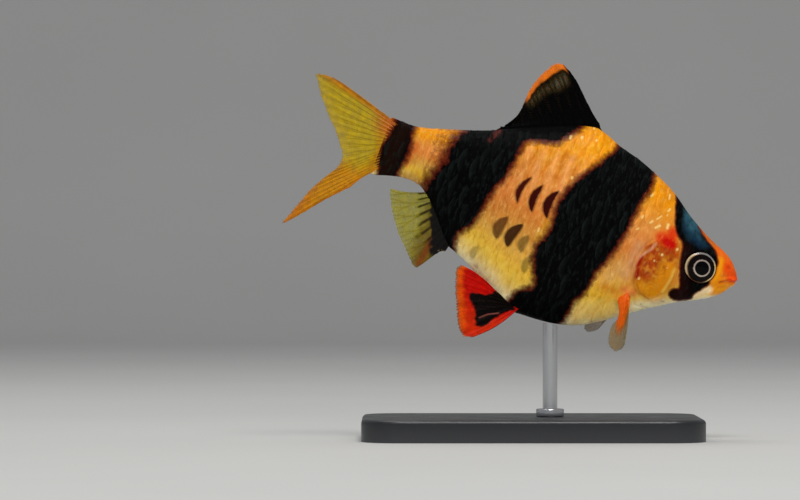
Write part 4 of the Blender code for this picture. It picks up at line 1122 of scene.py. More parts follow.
@dataclass(frozen=True)
class Head:
    """The forms of the head, as heights over the plain body."""

    body: Body
    eye: EyePlace
    pattern: Pattern
    mouth_line: tuple[Pair, ...] = ((-0.4, -0.9), (-0.25, -0.95), (1.0, -1.42), (1.9, -1.79))
    jaw_back: tuple[Pair, ...] = ((1.9, -1.79), (3.0, -3.39), (4.0, -7.0))
    lip_gap: float = 0.36
    fore_cover: tuple[Pair, ...] = ((8.7, 1.3), (8.2, -1.0), (7.95, -3.2), (8.4, -5.6), (9.6, -6.9))
    cover_seam: tuple[Pair, ...] = ((9.0, -5.3), (11.0, -5.2), (13.1, -4.4))
    cheek: tuple[Pair, ...] = ((6.9, 1.6), (7.6, -1.2), (6.9, -3.4), (5.2, -4.4), (3.2, -4.0))
    nostril_pits: tuple[Pair, ...] = ((2.15, 1.73), (3.15, 2.14))
    nostril_flap: Pair = (2.55, 2.24)
    throat: tuple[Pair, ...] = ((13.2, -6.2), (11.8, -8.6), (9.0, -8.4), (6.0, -6.9))
    brow: tuple[Pair, ...] = ((3.0, 1.5), (5.0, 2.0), (7.0, 1.6))

    def mouth(self, places: Array) -> Array:
        """The slit of the mouth between its lips, and the crease behind the jaw."""
        along, height = places.T
        gap = path_distance(places, self.mouth_line)
        slit = -0.9 - 0.39 * (along + 0.25)
        fade = ease(2.5, 1.6, along)
        lips = np.where(height > slit, 0.12, 0.1) * bell(gap - self.lip_gap, 0.24)
        lips -= 0.03 * bell(gap - 0.8, 0.13)
        crease = path_distance(places, self.jaw_back)
        form = fade * (lips - 0.06 * bell(gap, 0.09))
        return form - 0.05 * bell(crease, 0.14) + 0.03 * bell(crease - 0.4, 0.25) * ease(1.6, 2.6, along)

    def eye_socket(self, places: Array) -> Array:
        """The hollow that holds the eye, its raised rim, and the ridge over it."""
        middle = np.array([self.eye.along + self.eye.setback, self.eye.height])
        gap = np.linalg.norm((places - middle) * (0.97, 1.05), axis=1)
        form = -1.3 * ease(2.32, 1.7, gap) + 0.1 * bell(gap - 2.5, 0.2)
        return form + 0.1 * bell(path_distance(places, self.brow), 0.5)

    def nostrils(self, points: Array) -> Array:
        """Two pits on each side with a flap between them."""
        near = points * (1, -1, 1) * np.where(points[:, 1:2] > 0, 1, -1) ** np.array([0, 1, 0])
        form = np.zeros(len(points))
        for along, height in self.nostril_pits:
            gap = np.linalg.norm(near - self.body.flank(along, height) * (1, -1, 1), axis=1)
            form += 0.04 * bell(gap - 0.34, 0.1) - 0.2 * bell(gap, 0.2)
        gap = np.linalg.norm(near - self.body.flank(*self.nostril_flap) * (1, -1, 1), axis=1)
        return form + 0.45 * bell(gap, 0.2)

    def covers(self, points: Array, places: Array) -> Array:
        """The gill cover with its free rear edge, the seams on it, and the folds of cheek and throat."""
        along, height = places.T
        gap = outline_depth(places, self.pattern.gill_cover)
        free = ease(11.2, 12.6, along) * ease(1.2, 0.2, height)
        form = 0.18 * free * ease(0.07, -0.06, gap)
        form -= 0.2 * free * bell(gap - 0.24, 0.17)
        seam = path_distance(places, self.fore_cover)
        form += 0.03 * bell(seam - 0.3, 0.22) - 0.06 * bell(seam, 0.13)
        form -= 0.03 * bell(path_distance(places, self.cover_seam), 0.12)
        form -= 0.03 * bell(path_distance(places, self.cheek), 0.16)
        form -= 0.08 * bell(path_distance(places, self.throat), 0.16) * ease(13.4, 12.6, along)
        within = ease(0.0, -0.5, gap)
        return form + within * (0.03 * grain(points, 0.6, 31) + 0.02 * grain(points, 0.25, 32))

    def relief(self, points: Array, places: Array) -> Array:
        """All of the head's forms.

        Args:
            points: Points of the plain body.
            places: Their along and height.

        Returns:
            The height of each point over the plain body.
        """
        form = self.mouth(places) + self.eye_socket(places) + self.nostrils(points)
        return form + self.covers(points, places)


@dataclass(frozen=True)
class Skin:
    """One closed skin over head, trunk and tail stem."""

    body: Body
    pose: Pose
    eye: EyePlace
    pattern: Pattern
    nodes: tuple[str, ...] = (
        "head", "lower_jaw", "gill_cover_right", "gill_cover_left", "torso", "tail_stem",
    )
    segments: int = 300
    rings: int = 328
    crowding: float = 1.6
    tail_tip: float = 51.2
    taper: float = 44.5
    root_lines: tuple[tuple[Pair, ...], ...] = (
        ((24.4, 12.0), (28.0, 11.2), (32.0, 9.6), (36.4, 7.6)), ((37.9, -9.6), (40.4, -6.6), (43.3, -3.6)),
    )
    paired_root_lines: tuple[tuple[Pair, ...], ...] = (
        ((13.1, -7.4), (14.1, -8.7)),
        ((26.3, -14.4), (28.7, -13.7)),
    )

    def fin_roots(self, points: Array, places: Array) -> Array:
        """Low swellings from which the fins grow."""
        form = np.zeros(len(points))
        for path in self.root_lines:
            edge = bell(path_distance(places, path), 0.5) * bell(points[:, 1], 0.7)
            form += 0.16 * edge
        for path in self.paired_root_lines:
            form += 0.32 * bell(path_distance(places, path), 0.55)
        return form

    @classmethod
    def thinning(cls, along: Array) -> Array:
        """The share of its width that the tail stem keeps, so that it runs out between the fin's rays."""
        return 1 - 0.88 * np.clip((along - cls.taper) / (cls.tail_tip - cls.taper), 0.0, 1.0) ** 1.6

    def build(self) -> None:
        """Makes the skin from a sphere drawn out to the body's outline."""
        bpy.ops.mesh.primitive_uv_sphere_add(segments=self.segments, ring_count=self.rings, radius=1.0)
        obj = added("skin")
        ball = read_points(obj)
        share = np.arccos(np.clip(ball[:, 2], -1.0, 1.0)) / math.pi
        share = np.minimum(share / (1 - 1 / self.rings), 1.0)
        along = self.body.start + (self.tail_tip - self.body.start) * share**self.crowding
        turn = np.arctan2(ball[:, 1], ball[:, 0])
        poles = np.hypot(ball[:, 0], ball[:, 1]) < 1e-6
        points = self.body.skin(along, turn)
        facing = self.body.facing(along, turn)
        facing[poles] = (1.0, 0.0, 0.0)
        places = side_view(points)
        form = Head(self.body, self.eye, self.pattern).relief(points, places) * ease(15.0, 14.0, along)
        form += self.fin_roots(points, places) + 0.03 * grain(points, 3.0, 41)
        form *= ease(self.tail_tip, 50.0, along)
        lifted = points + form[:, None] * facing
        lifted[:, 1] *= self.thinning(along)
        ends = poles & (share > 0.5)
        lifted[ends] = (-self.tail_tip, 0.0, np.mean(self.body.section(self.body.end)[:2]))
        write_points(obj, self.pose.world(self.body.swing(lifted)))
        self.pattern.paint(points).write(obj)
        outward_faces(obj)
        settle(obj, WetSkin("wet_skin").material(), self.nodes)


@dataclass
class Scales:
    """Rows of overlapping scales behind the head: thin domed plates, each rooted in the skin."""

    body: Body
    pose: Pose
    pattern: Pattern
    pitch: float = 1.9
    row_gap: float = 2.05
    ahead: float = 1.35
    behind: float = 1.3
    half_height: float = 2.1
    root_depth: float = -0.13
    edge_rise: float = 0.055
    dome: float = 0.02
    thickness: float = 0.05
    steps_along: int = 5
    steps_across: int = 9
    growth_rings: int = 9
    unwrap_size: float = 60.0
    patch: float = 0.32
    last: float = 49.7
    crowding: float = 0.98
    smallest: float = 0.74
    shrinking: Pair = (49.0, 38.0)
    overhang: float = 0.3
    head_clearance: float = 0.9
    head_edge: tuple[Pair, ...] = (
        (9.6, 9.0), (10.9, 6.4), (11.6, 3.6), (12.7, 1.0), (13.7, -1.6), (14.0, -4.0), (13.4, -6.6),
        (12.0, -9.2), (10.6, -12.0),
    )
    table_steps: int = 160
    rows: int = 9
    columns: int = 30

    def __post_init__(self) -> None:
        """Measures the body's girth, so that rows can be laid out by it."""
        self.stations = np.linspace(8.0, self.body.end, self.table_steps)
        turns = np.linspace(0.0, math.pi / 2, self.table_steps)
        self.tables = {}
        for sign in (1, -1):
            points = self.body.skin(self.stations[:, None], sign * turns[None, :])
            runs = np.linalg.norm(np.diff(points, axis=1), axis=2)
            girth = np.concatenate([np.zeros((self.table_steps, 1)), np.cumsum(runs, axis=1)], axis=1)
            shares = np.linspace(0.0, 1.0, self.table_steps)
            even = np.array([np.interp(shares * row[-1], row, turns) for row in girth])
            self.tables[sign] = (girth[:, -1], even)

    def turn_at(self, along: Array, climb: Array) -> Array:
        """The turn reached by going round the body from its widest level.

        Args:
            along: Places along the fish.
            climb: How far round, in millimetres: up above 0, down below it.

        Returns:
            The turns, which run on over the back or the belly.
        """
        found = np.zeros(np.broadcast(along, climb).shape)
        first = self.stations[0]
        last = self.stations[-1]
        for sign in (1, -1):
            totals, even = self.tables[sign]
            total = np.interp(along, self.stations, totals)
            share = np.clip(sign * climb / total, 0.0, 2.0)
            over = share > 1
            share = np.where(over, 2 - share, share)
            row = (np.clip(along, first, last) - first) / (last - first) * (self.table_steps - 1)
            low = np.clip(row.astype(int), 0, self.table_steps - 2)
            column = share * (self.table_steps - 1)
            left = np.clip(column.astype(int), 0, self.table_steps - 2)
            r = row - low
            c = column - left
            turn = (even[low, left] * (1 - c) + even[low, left + 1] * c) * (1 - r)
            turn += (even[low + 1, left] * (1 - c) + even[low + 1, left + 1] * c) * r
            turn = np.where(over, math.pi - turn, turn)
            found = np.where(sign * climb > 0, sign * turn, found)
        return found

    def layout(self) -> Array:
        """Where the scales go on one flank.

        Returns:
            Along, climb and size of each, from the tail forward, so that the list is steady.
        """
        spots = []
        for row in range(-self.rows, self.rows + 1):
            offset = 0.5 * self.pitch * (row % 2)
            for column in range(self.columns):
                along = self.last - offset - column * self.pitch * self.crowding
                size = self.smallest + (1 - self.smallest) * float(ease(*self.shrinking, along))
                climb = row * self.row_gap * size
                totals = self.tables[1 if climb > 0 else -1][0]
                limit = float(np.interp(along, self.stations, totals))
                if abs(climb) > limit + self.overhang:
                    continue
                place = self.body.skin(along, self.turn_at(np.array(along), np.array(climb)))
                edge = np.array(self.head_edge)
                border = float(np.interp(-place[2], -edge[:, 1], edge[:, 0]))
                if along < border + self.head_clearance:
                    continue
                spots.append((along, climb, size))
        return np.array(spots)

    def ring(self) -> Array:
        """The numbers of the plate's border points, once round."""
        index = np.arange((self.steps_along + 1) * (self.steps_across + 1)).reshape(self.steps_along + 1, -1)
        return np.concatenate([index[0, :-1], index[:-1, -1], index[-1, :0:-1], index[:0:-1, 0]])

    def plate(self) -> tuple[Array, Array]:
        """One scale before it is laid on the fish.

        Returns:
            The plate's points as (back, up) shares, from its root at -1 to its free edge at 1, row by
            row and then its border again for the underside, and their rise over the skin.
        """
        back = -np.cos(np.linspace(0.0, math.pi, self.steps_along + 1))
        across = np.sin(np.linspace(-math.pi / 2, math.pi / 2, self.steps_across + 1))
        power = np.where(back > 0, 2.0, 5.0)
        half = np.clip(1 - np.abs(back) ** power, 0.0, 1.0) ** (1 / power) * 0.94 + 0.06
        shares = np.stack(
            [np.repeat(back[:, None], len(across), axis=1), half[:, None] * across[None, :]], axis=-1
        ).reshape(-1, 2)
        rise = self.root_depth + (self.edge_rise - self.root_depth) * (shares[:, 0] + 1) / 2
        rise += self.dome * (1 - shares[:, 1] ** 2)
        ring = self.ring()
        return np.concatenate([shares, shares[ring]]), np.concatenate([rise, rise[ring] - self.thickness])

    def faces(self, count: int) -> list[list[int]]:
        """The faces of all scales: each one's top, the wall round it and one face below."""
        rows = self.steps_along + 1
        columns = self.steps_across + 1
        index = np.arange(rows * columns).reshape(rows, columns)
        quads = (index[:-1, :-1], index[:-1, 1:], index[1:, 1:], index[1:, :-1])
        top = np.stack(quads, axis=-1).reshape(-1, 4)
        ring = self.ring()
        after = np.roll(ring, -1)
        low = rows * columns + np.arange(len(ring))
        wall = np.stack([after, ring, low, np.roll(low, -1)], axis=-1)
        stride = rows * columns + len(ring)
        found = []
        for start in stride * np.arange(count):
            found += (top + start).tolist() + (wall + start).tolist() + [(low + start).tolist()]
        return found

    def build(self, side: Side) -> None:
        """Lays the scales on one flank as one mesh.

        Args:
            side: Which flank.
        """
        spots = self.layout()
        count = len(spots)
        shares, rise = self.plate()
        random = np.random.default_rng(7 if side is Side.RIGHT else 8)
        size = spots[:, 2] * random.uniform(0.97, 1.03, count)
        tilt = random.uniform(-0.03, 0.03, count)
        back = shares[None, :, 0] * size[:, None]
        along = spots[:, 0, None] + back * np.where(back > 0, self.behind, self.ahead)
        climb = spots[:, 1, None] + shares[None, :, 1] * (self.half_height * size)[:, None]
        climb = climb + tilt[:, None] * back
        near = np.minimum(np.clip(along, self.stations[0], None), self.body.end)
        turn = self.turn_at(near, climb)
        points = self.body.skin(near, turn)
        points[..., 0] = -np.maximum(along, near)
        lift = rise[None] * ((0.8 + 0.2 * size) * random.uniform(0.85, 1.15, count))[:, None]
        shell = points + lift[..., None] * self.body.facing(near, turn)
        shell[..., 1] *= Skin.thinning(np.maximum(along, near))
        mesh = bpy.data.meshes.new(f"scales_{side.word}")
        mesh.from_pydata((shell.reshape(-1, 3) * side.flip).tolist(), [], self.faces(count))
        obj = bpy.data.objects.new(mesh.name, mesh)
        bpy.context.scene.collection.objects.link(obj)
        write_points(obj, self.pose.world(self.body.swing(shell.reshape(-1, 3) * side.flip)))
        self.painted(points, shares).write(obj)
        self.unwrap(obj, spots, shares)
        outward_faces(obj)
        finish = WetSkin(
            f"wet_scales_{side.word}", growth=math.tau * self.growth_rings, bump=0.012, roughness=0.4
        )
        settle(obj, finish.material())

    def painted(self, points: Array, shares: Array) -> Painted:
        """Paints the scales with the body's pattern, darker and deeper orange at their roots where they tuck
        under the scales ahead (painted shade, which also deepens the flank's orange streaks), paler at their
        free edges (a painted highlight), with painted glints on their edges in the bars.

        Args:
            points: The points of the plain skin under each plate, (scales, points, 3).
            shares: The plate's points as shares.

        Returns:
            What the material reads.
        """
        count = len(points)
        flat = points.reshape(-1, 3)
        paint = self.pattern.paint(flat)
        share = np.tile((shares[:, 0] + 1) / 2, count)
        across = np.tile(np.abs(shares[:, 1]), count)
        random = np.random.default_rng(5)
        tone = np.repeat(random.uniform(-1.0, 1.0, count), len(shares))
        upper = 0.35 + 0.65 * ease(-2.0, 3.0, flat[:, 2])
        edge = ease(0.84, 1.0, share + 0.05 * across)
        root = ease(0.68, 0.4, share) * ease(1.0, 0.6, across)
        # Painted shade: darker, deeper orange roots where each scale tucks under the one ahead, which also
        # deepens the flank's orange streaks; painted highlight: paler free edges
        colour = blend(paint.marks, paint.marks * (0.8, 0.58, 0.3), 0.75 * root * upper)
        colour = blend(colour, np.minimum(colour * 1.25 + (0.03, 0.02, 0.006), 1.0), 0.85 * edge * upper)
        paint.marks = colour * (1 + 0.05 * tone)[:, None]
        # Painted glints: pale strokes along the free edges of scales in the black bars
        painted_glint = edge * ease(-0.6, 0.8, tone) * ease(0.9, 0.4, across)
        paint.ink = blend(paint.ink, "#222a28", 0.5 * painted_glint)
        paint.values[GROWTH] = np.tile(np.hypot(shares[:, 0] + 1, shares[:, 1]) / 2, count)
        return paint

    def unwrap(self, obj: bpy.types.Object, spots: Array, shares: Array) -> None:
        """Gives each scale its own patch at its root's place on an unwrap of the skin.

        Args:
            obj: The scales of one flank.
            spots: The scales' places.
            shares: The plate's points as shares.
        """
        patch = shares * (self.patch * self.pitch, self.patch * self.row_gap)
        uv = (spots[:, None, :2] + patch[None]) / self.unwrap_size + (0.0, 0.5)
        layer = obj.data.uv_layers.new(name="OFBake")
        corners = np.empty(len(obj.data.loops), np.int32)
        obj.data.loops.foreach_get("vertex_index", corners)
        layer.data.foreach_set("uv", uv.reshape(-1, 2)[corners].astype(np.float32).ravel())


@dataclass(frozen=True)
class Ray:
    """One fin ray: its root's share of the fin base, and its tip back, up and out from the front root."""

    share: float
    back: float
    up: float
    out: float = 0.0


Paint = Callable[[Array, Array, Array, Array, Array], tuple[Array, Array]]


@dataclass
class Fin:
    """A fin: a thin sheet from a root line to ray tips, ridged by rays that branch towards the margin."""

    name: str
    nodes: tuple[str, ...]
    slot: str
    roots: Array
    tips: Array
    bows: Array
    paint: Paint
    simple_rays: int = 1
    simple_last: int = 0
    sink: float = 1.1
    web: float = 0.09
    ray_rise: float = 0.22
    ray_width: float = 0.11
    root_swell: float = 0.35
    scallop: float = 0.03
    columns_per_ray: int = 20
    rows: int = 64

    def sheet(self, across: Array, reach: Array) -> Array:
        """Points of the middle sheet.

        Args:
            across: Places across the fin, in rays.
            reach: Shares of the way from root to tip, below zero inside the body.

        Returns:
            Places in fish space.
        """
        order = np.arange(len(self.roots))
        root = spline(order, self.roots)(across)
        tip = spline(order, self.tips)(across)
        bow = spline(order, self.bows)(across)
        reach = reach[..., None]
        return root + (tip - root) * reach + bow * np.sin(math.pi * np.clip(reach, 0.0, 1.0))

    def ridges(self, across: Array, reach: Array, spacing: Array) -> Array:
        """How much of a ray each point lies on.

        Args:
            across: Places across the fin, in rays.
            reach: Shares of the way from root to tip.
            spacing: The distance between rays there, in millimetres.

        Returns:
            0 to 1 at each point.
        """
        number = np.round(across)
        off = across - number
        last = len(self.roots) - 1
        forked = (number >= self.simple_rays) & (number <= last - self.simple_last)
        first = np.where(forked, 0.25 * ease(0.2, 0.85, reach), 0.0)
        second = np.where(forked, 0.125 * ease(0.5, 1.0, reach), 0.0)
        width = self.ray_width * (1 - 0.45 * np.clip(reach, 0, 1)) * np.where(forked, 1.0, 1.35)
        found = np.zeros_like(across)
        for one, two in itertools.product((-1, 1), repeat=2):
            gap = (off - one * first - two * second) * spacing
            outside = (number + one * first + two * second > last) | (number + one * first + two * second < 0)
            found = np.maximum(found, np.where(outside, 0.0, bell(gap, width)))
        return found

    def build(self, body: Body, pose: Pose, material: bpy.types.Material) -> None:
        """Makes the fin from a grid, with its thickness by Solidify.

        Args:
            body: The fish's body, whose swing the fin follows.
            pose: How the fish stands.
            material: The fin's material.
        """
        rays = len(self.roots)
        columns = (rays - 1) * self.columns_per_ray
        bpy.ops.mesh.primitive_grid_add(x_subdivisions=columns, y_subdivisions=self.rows, size=2.0)
        obj = added(self.name)
        grid = read_points(obj)
        across = (grid[:, 0] + 1) / 2 * (rays - 1)
        share = (grid[:, 1] + 1) / 2
        straight = self.sheet(across, np.ones_like(across)) - self.sheet(across, np.zeros_like(across))
        length = np.linalg.norm(straight, axis=1)
        inside = self.sink / np.maximum(length, self.sink)
        reach = -inside + (1 + inside) * share
        spacing = np.linalg.norm(
            self.sheet(across + 0.01, reach) - self.sheet(across - 0.01, reach), axis=1
        ) / 0.02
        ridge = self.ridges(across, reach, spacing)
        frayed = 0.012 * grain(np.column_stack([across * 9, reach * 0, across * 0]), 1.0, 61)
        margin = 1 - self.scallop * (1 - ridge) * ease(0.0, 1.2, spacing) + frayed
        reach = np.where(reach > 0, reach * margin, reach)
        points = self.sheet(across, reach)
        left = np.clip(reach, 0.0, 1.0)
        points[:, 1] += 0.05 * np.sin(across * math.tau + 0.4) * left * np.minimum(spacing, 1.0)
        thickness = self.web * (1 - 0.35 * left) + ridge * self.ray_rise * (1 - 0.72 * left)
        thickness += self.root_swell * ease(0.22, -0.05, reach)
        colours, alpha = self.paint(points, across, left, ridge, length * (1 - left))
        write_points(obj, pose.world(body.swing(points)))
        write_marks(obj, np.clip(colours, 0, 1), np.clip(alpha, 0, 1))
        write_values(obj, "Reach", left * length)
        write_values(obj, "Ray", ridge * ease(0.15, 0.35, left))
        thickest = float(thickness.max())
        self.thicken(obj, thickness / thickest, thickest)
        outward_faces(obj)
        settle(obj, material, self.nodes)

    def thicken(self, obj: bpy.types.Object, shares: Array, thickest: float) -> None:
        """Gives the sheet its thickness on both sides, point by point.

        Args:
            obj: The sheet.
            shares: Each point's share of the greatest thickness.
            thickest: The greatest thickness.
        """
        group = obj.vertex_groups.new(name="thickness")
        for index, value in enumerate(shares):
            group.add([index], float(value), "REPLACE")
        shell = obj.modifiers.new("thickness", "SOLIDIFY")
        shell.thickness = thickest * MM
        shell.offset = 0.0
        shell.vertex_group = "thickness"
        only(obj)
        bpy.ops.object.modifier_apply(modifier=shell.name)
        obj.vertex_groups.clear()


@dataclass(frozen=True)
class FinMaker:
    """All the fins, on the same bases and with the same ray tips as the solids."""

    body: Body
    pose: Pose
    dorsal_rays: tuple[Ray, ...] = (
        Ray(0.00, 0.80, 0.70), Ray(0.04, 2.90, 2.60), Ray(0.09, 5.40, 5.05), Ray(0.15, 7.70, 6.45),
        Ray(0.25, 8.85, 6.15), Ray(0.36, 9.65, 4.90), Ray(0.47, 10.35, 3.50), Ray(0.58, 10.75, 2.00),
        Ray(0.69, 10.90, 0.50), Ray(0.80, 10.95, -1.00), Ray(0.90, 11.30, -2.50), Ray(1.00, 12.30, -4.10),
    )
    anal_rays: tuple[Ray, ...] = (
        Ray(0.00, 0.80, -0.60), Ray(0.07, 1.95, -1.95), Ray(0.15, 3.10, -4.10), Ray(0.30, 4.60, -3.10),
        Ray(0.48, 6.40, -1.30), Ray(0.66, 8.00, 0.70), Ray(0.83, 9.30, 2.70), Ray(1.00, 10.20, 4.80),
    )
    upper_tail_rays: tuple[Ray, ...] = (
        Ray(0.00, 4.30, 1.15), Ray(0.03, 7.10, 2.20), Ray(0.06, 9.70, 2.85), Ray(0.10, 12.10, 2.65),
        Ray(0.19, 11.60, 1.45), Ray(0.31, 10.75, 0.20), Ray(0.43, 9.70, -1.10), Ray(0.55, 8.70, -2.20),
        Ray(0.66, 7.70, -3.20), Ray(0.77, 6.70, -4.30), Ray(0.88, 5.80, -5.50), Ray(1.00, 5.00, -6.70),
    )
    lower_tail_rays: tuple[Ray, ...] = (
        Ray(0.00, 2.50, -3.30), Ray(0.03, 4.80, -5.70), Ray(0.06, 7.10, -8.40), Ray(0.10, 9.40, -11.00),
        Ray(0.19, 9.10, -9.60), Ray(0.31, 8.50, -8.00), Ray(0.43, 7.90, -6.30), Ray(0.55, 7.20, -4.80),
        Ray(0.66, 6.40, -3.40), Ray(0.77, 5.60, -2.20), Ray(0.88, 5.00, -1.00), Ray(1.00, 4.75, 0.10),
    )
    pelvic_rays: tuple[Ray, ...] = (
        Ray(0.00, 4.60, -5.50), Ray(0.12, 5.80, -5.65), Ray(0.24, 6.90, -4.40), Ray(0.37, 7.70, -2.60),
        Ray(0.50, 8.30, -1.25), Ray(0.62, 8.80, 0.00), Ray(0.75, 9.20, 1.20), Ray(0.87, 9.50, 2.35),
        Ray(1.00, 9.10, 3.20),
    )
    pectoral_rays: tuple[Ray, ...] = (
        Ray(0.00, -1.75, -5.30, 6.20), Ray(0.12, -2.05, -6.10, 5.60), Ray(0.25, -1.85, -6.80, 4.80),
        Ray(0.37, -1.35, -7.20, 4.00), Ray(0.50, -0.75, -7.10, 3.20), Ray(0.62, -0.25, -6.60, 2.50),
        Ray(0.75, 0.05, -5.80, 1.90), Ray(0.87, 0.15, -4.90, 1.40), Ray(1.00, 0.15, -4.00, 1.00),
    )
    dorsal_base: Pair = (24.1, 36.7)
    anal_base: Pair = (37.8, 43.5)
    pelvic_base: Pair = (26.3, 28.7)
    pelvic_out: float = 1.5
    pelvic_splay: float = 3.2
    pectoral_root: tuple[Pair, ...] = ((13.1, -7.40), (14.1, -8.70))
    left_sweep: float = 0.5
    left_drop: float = 0.84
    wedge: tuple[Pair, ...] = (
        (26.4, -14.7), (28.0, -13.7), (30.2, -13.1), (30.4, -13.85), (31.5, -14.3), (33.1, -14.4),
        (33.2, -15.2), (32.3, -15.9), (31.7, -16.7), (31.4, -17.5), (30.9, -18.4), (30.2, -18.5),
        (29.4, -17.7), (28.8, -16.7), (28.2, -15.7), (27.3, -15.1),
    )
    wedge_gap: tuple[Pair, ...] = ((30.8, -17.3), (29.9, -16.5), (28.6, -15.9))
    gap: float = 0.3

    def bows(self, start: tuple[float, ...], end: tuple[float, ...], count: int) -> Array:
        """How far each ray's middle is pushed back, left and up, from the first ray to the last."""
        shares = np.linspace(0.0, 1.0, count)[:, None]
        pushes = np.array(start) * (1 - shares) + np.array(end) * shares
        return pushes * (self.body.length / 100) * np.array([-1.0, 1.0, 1.0])

    def tips(self, front: Array, rays: Sequence[Ray]) -> Array:
        """The ray tips of a fin in the middle plane."""
        return np.array([front + (-ray.back, 0.0, ray.up) for ray in rays])

    def middle_roots(self, base: Pair, rays: Sequence[Ray], turn: float) -> Array:
        """The ray roots of a fin on the back or the belly's edge, just off the skin."""
        start, end = base
        along = np.array([start + (end - start) * ray.share for ray in rays])
        roots = self.body.skin(along, turn) + self.gap * self.body.facing(along, turn)
        roots[:, 1] = 0.0
        return roots

    def dorsal(self) -> Fin:
        """The fin of the back."""
        roots = self.middle_roots(self.dorsal_base, self.dorsal_rays, math.pi / 2)
        bows = self.bows((0.0, 0.0, 0.3), (-0.4, 0.6, 0.0), len(roots))
        return Fin(
            "dorsal_fin_rays", ("dorsal_fin",), "dorsal_black", roots, self.tips(roots[0], self.dorsal_rays),
            bows, self.paint_dorsal, simple_rays=4, columns_per_ray=18, ray_rise=0.16, root_swell=0.22,
        )

    def anal(self) -> Fin:
        """The fin under the tail stem."""
        roots = self.middle_roots(self.anal_base, self.anal_rays, -math.pi / 2)
        bows = self.bows((-0.4, 0.0, -0.6), (0.0, 0.8, -0.5), len(roots))
        return Fin(
            "anal_fin_rays", ("anal_fin",), "anal_pale_yellow", roots, self.tips(roots[0], self.anal_rays),
            bows, self.paint_anal, simple_rays=3,
        )

    def tail(self) -> Fin:
        """The tail fin with both its lobes, from the upper edge to the lower one."""
        top, bottom, _, _ = self.body.section(self.body.end)
        middle = (top + bottom) / 2
        x = -self.body.end - self.gap
        lobes = (
            (self.upper_tail_rays, top - 1.5 * self.gap, (0.0, 0.0, 0.2)),
            (self.lower_tail_rays, bottom + 1.5 * self.gap, (0.3, 0.0, 0.3)),
        )
        parts = []
        for rays, outer, push in lobes:
            roots = np.array([(x, 0.0, outer + (middle - outer) * ray.share) for ray in rays])
            bows = self.bows(push, (0.0, 0.8, -0.2), len(rays))
            parts.append(np.stack([roots, self.tips(roots[0], rays), bows]))
        # The lower lobe runs the other way, and both share their innermost ray
        roots, tips, bows = np.concatenate([parts[0], parts[1][:, -2::-1]], axis=1)
        return Fin(
            "caudal_fin_rays", ("caudal_fin_upper", "caudal_fin_lower"), "caudal_amber", roots, tips, bows,
            self.paint_tail, simple_rays=3, simple_last=3, sink=2.2, root_swell=0.2, ray_width=0.09,
            ray_rise=0.18, rows=60,
        )

    def pelvic(self, side: Side) -> Fin:
        """A belly fin, splayed outward."""
        start, end = self.pelvic_base
        roots = []
        for ray in self.pelvic_rays:
            along = start + (end - start) * ray.share
            half = self.body.section(along)[3]
            turn = -math.acos((self.pelvic_out / half) ** self.body.fullness(along, False))
            roots.append(self.body.skin(along, turn) + 1.4 * self.gap * self.body.facing(along, turn))
        roots = np.array(roots)
        tips = self.tips(roots[0], self.pelvic_rays)
        tips[:, 1] -= self.pelvic_splay
        bows = self.bows((-0.6, -0.8, -0.5), (0.6, -1.6, 1.2), len(roots))
        name = f"pelvic_fin_{side.word}"
        roots, tips, bows = (values * side.flip for values in (roots, tips, bows))
        return Fin(
            f"{name}_rays", (name,), "pelvic_red", roots, tips, bows, self.paint_pelvic, sink=0.9,
            root_swell=0.25, columns_per_ray=18, rows=56,
        )

    def pectoral(self, side: Side) -> Fin:
        """A breast fin, standing out on the right and swept back on the left."""
        sweep = self.left_sweep if side is Side.LEFT else 0.0
        drop = self.left_drop if side is Side.LEFT else 1.0
        (start, start_height), (end, end_height) = self.pectoral_root
        middle = self.body.flank((start + end) / 2, (start_height + end_height) / 2)
        roots = []
        tips = []
        for ray in self.pectoral_rays:
            along = start + (end - start) * ray.share
            height = start_height + (end_height - start_height) * ray.share
            roots.append(self.body.flank(along, height, 1.4 * self.gap))
            tips.append(middle + (-(ray.back - sweep * ray.up), -ray.out, ray.up * drop))
        bows = self.bows((-0.3, -0.6, 0.3), (-1.3, 0.0, -0.3), len(roots))
        name = f"pectoral_fin_{side.word}"
        roots, tips, bows = (np.array(values) * side.flip for values in (roots, tips, bows))
        return Fin(
            f"{name}_rays", (name,), "pectoral_orange", roots, tips, bows, self.paint_pectoral, sink=0.9,
            root_swell=0.25, ray_rise=0.16, columns_per_ray=16, rows=52,
        )

    def paint_dorsal(
        self, points: Array, across: Array, reach: Array, ridge: Array, edge: Array
    ) -> tuple[Array, Array]:
        """Black, with an orange rim from the tip down the rear margin and clearer web inside it."""
        places = side_view(points)
        height = places[:, 1]
        jitter = grain(points, 0.5, 71)
        colour = plain("#020202", points)
        thin = Dab("", ((31.0, 17.0), (31.7, 16.0)), 0.7, 0.9, 0.85).cover(places)
        strip = Dab("", ((31.7, 16.0), (33.2, 14.4), (34.2, 12.5)), 0.45, 0.7, 0.6)
        thin = np.maximum(thin, strip.cover(places))
        thin = thin * ease(2.6, 3.6, across)
        colour = blend(colour, "#46390f", thin * (1 - 0.6 * ridge))
        width = 0.6 + 0.5 * ease(12.5, 17.5, height)
        rim = ease(width + 0.2, width - 0.2, edge + 0.15 * jitter) * ease(2.7, 3.2, across)
        rim = rim * ease(12.0, 13.0, height)
        colour = blend(colour, "#e8740c", rim)
        colour = Pattern.FIN_FOOT.lay(colour, places)
        front = ease(0.5, 0.1, across) * ease(0.55, 0.95, reach)
        colour = blend(colour, "#5a4a3c", 0.3 * front)
        alpha = 0.99 - 0.4 * thin * (1 - ridge) - 0.25 * rim * (1 - ridge)
        return colour, alpha

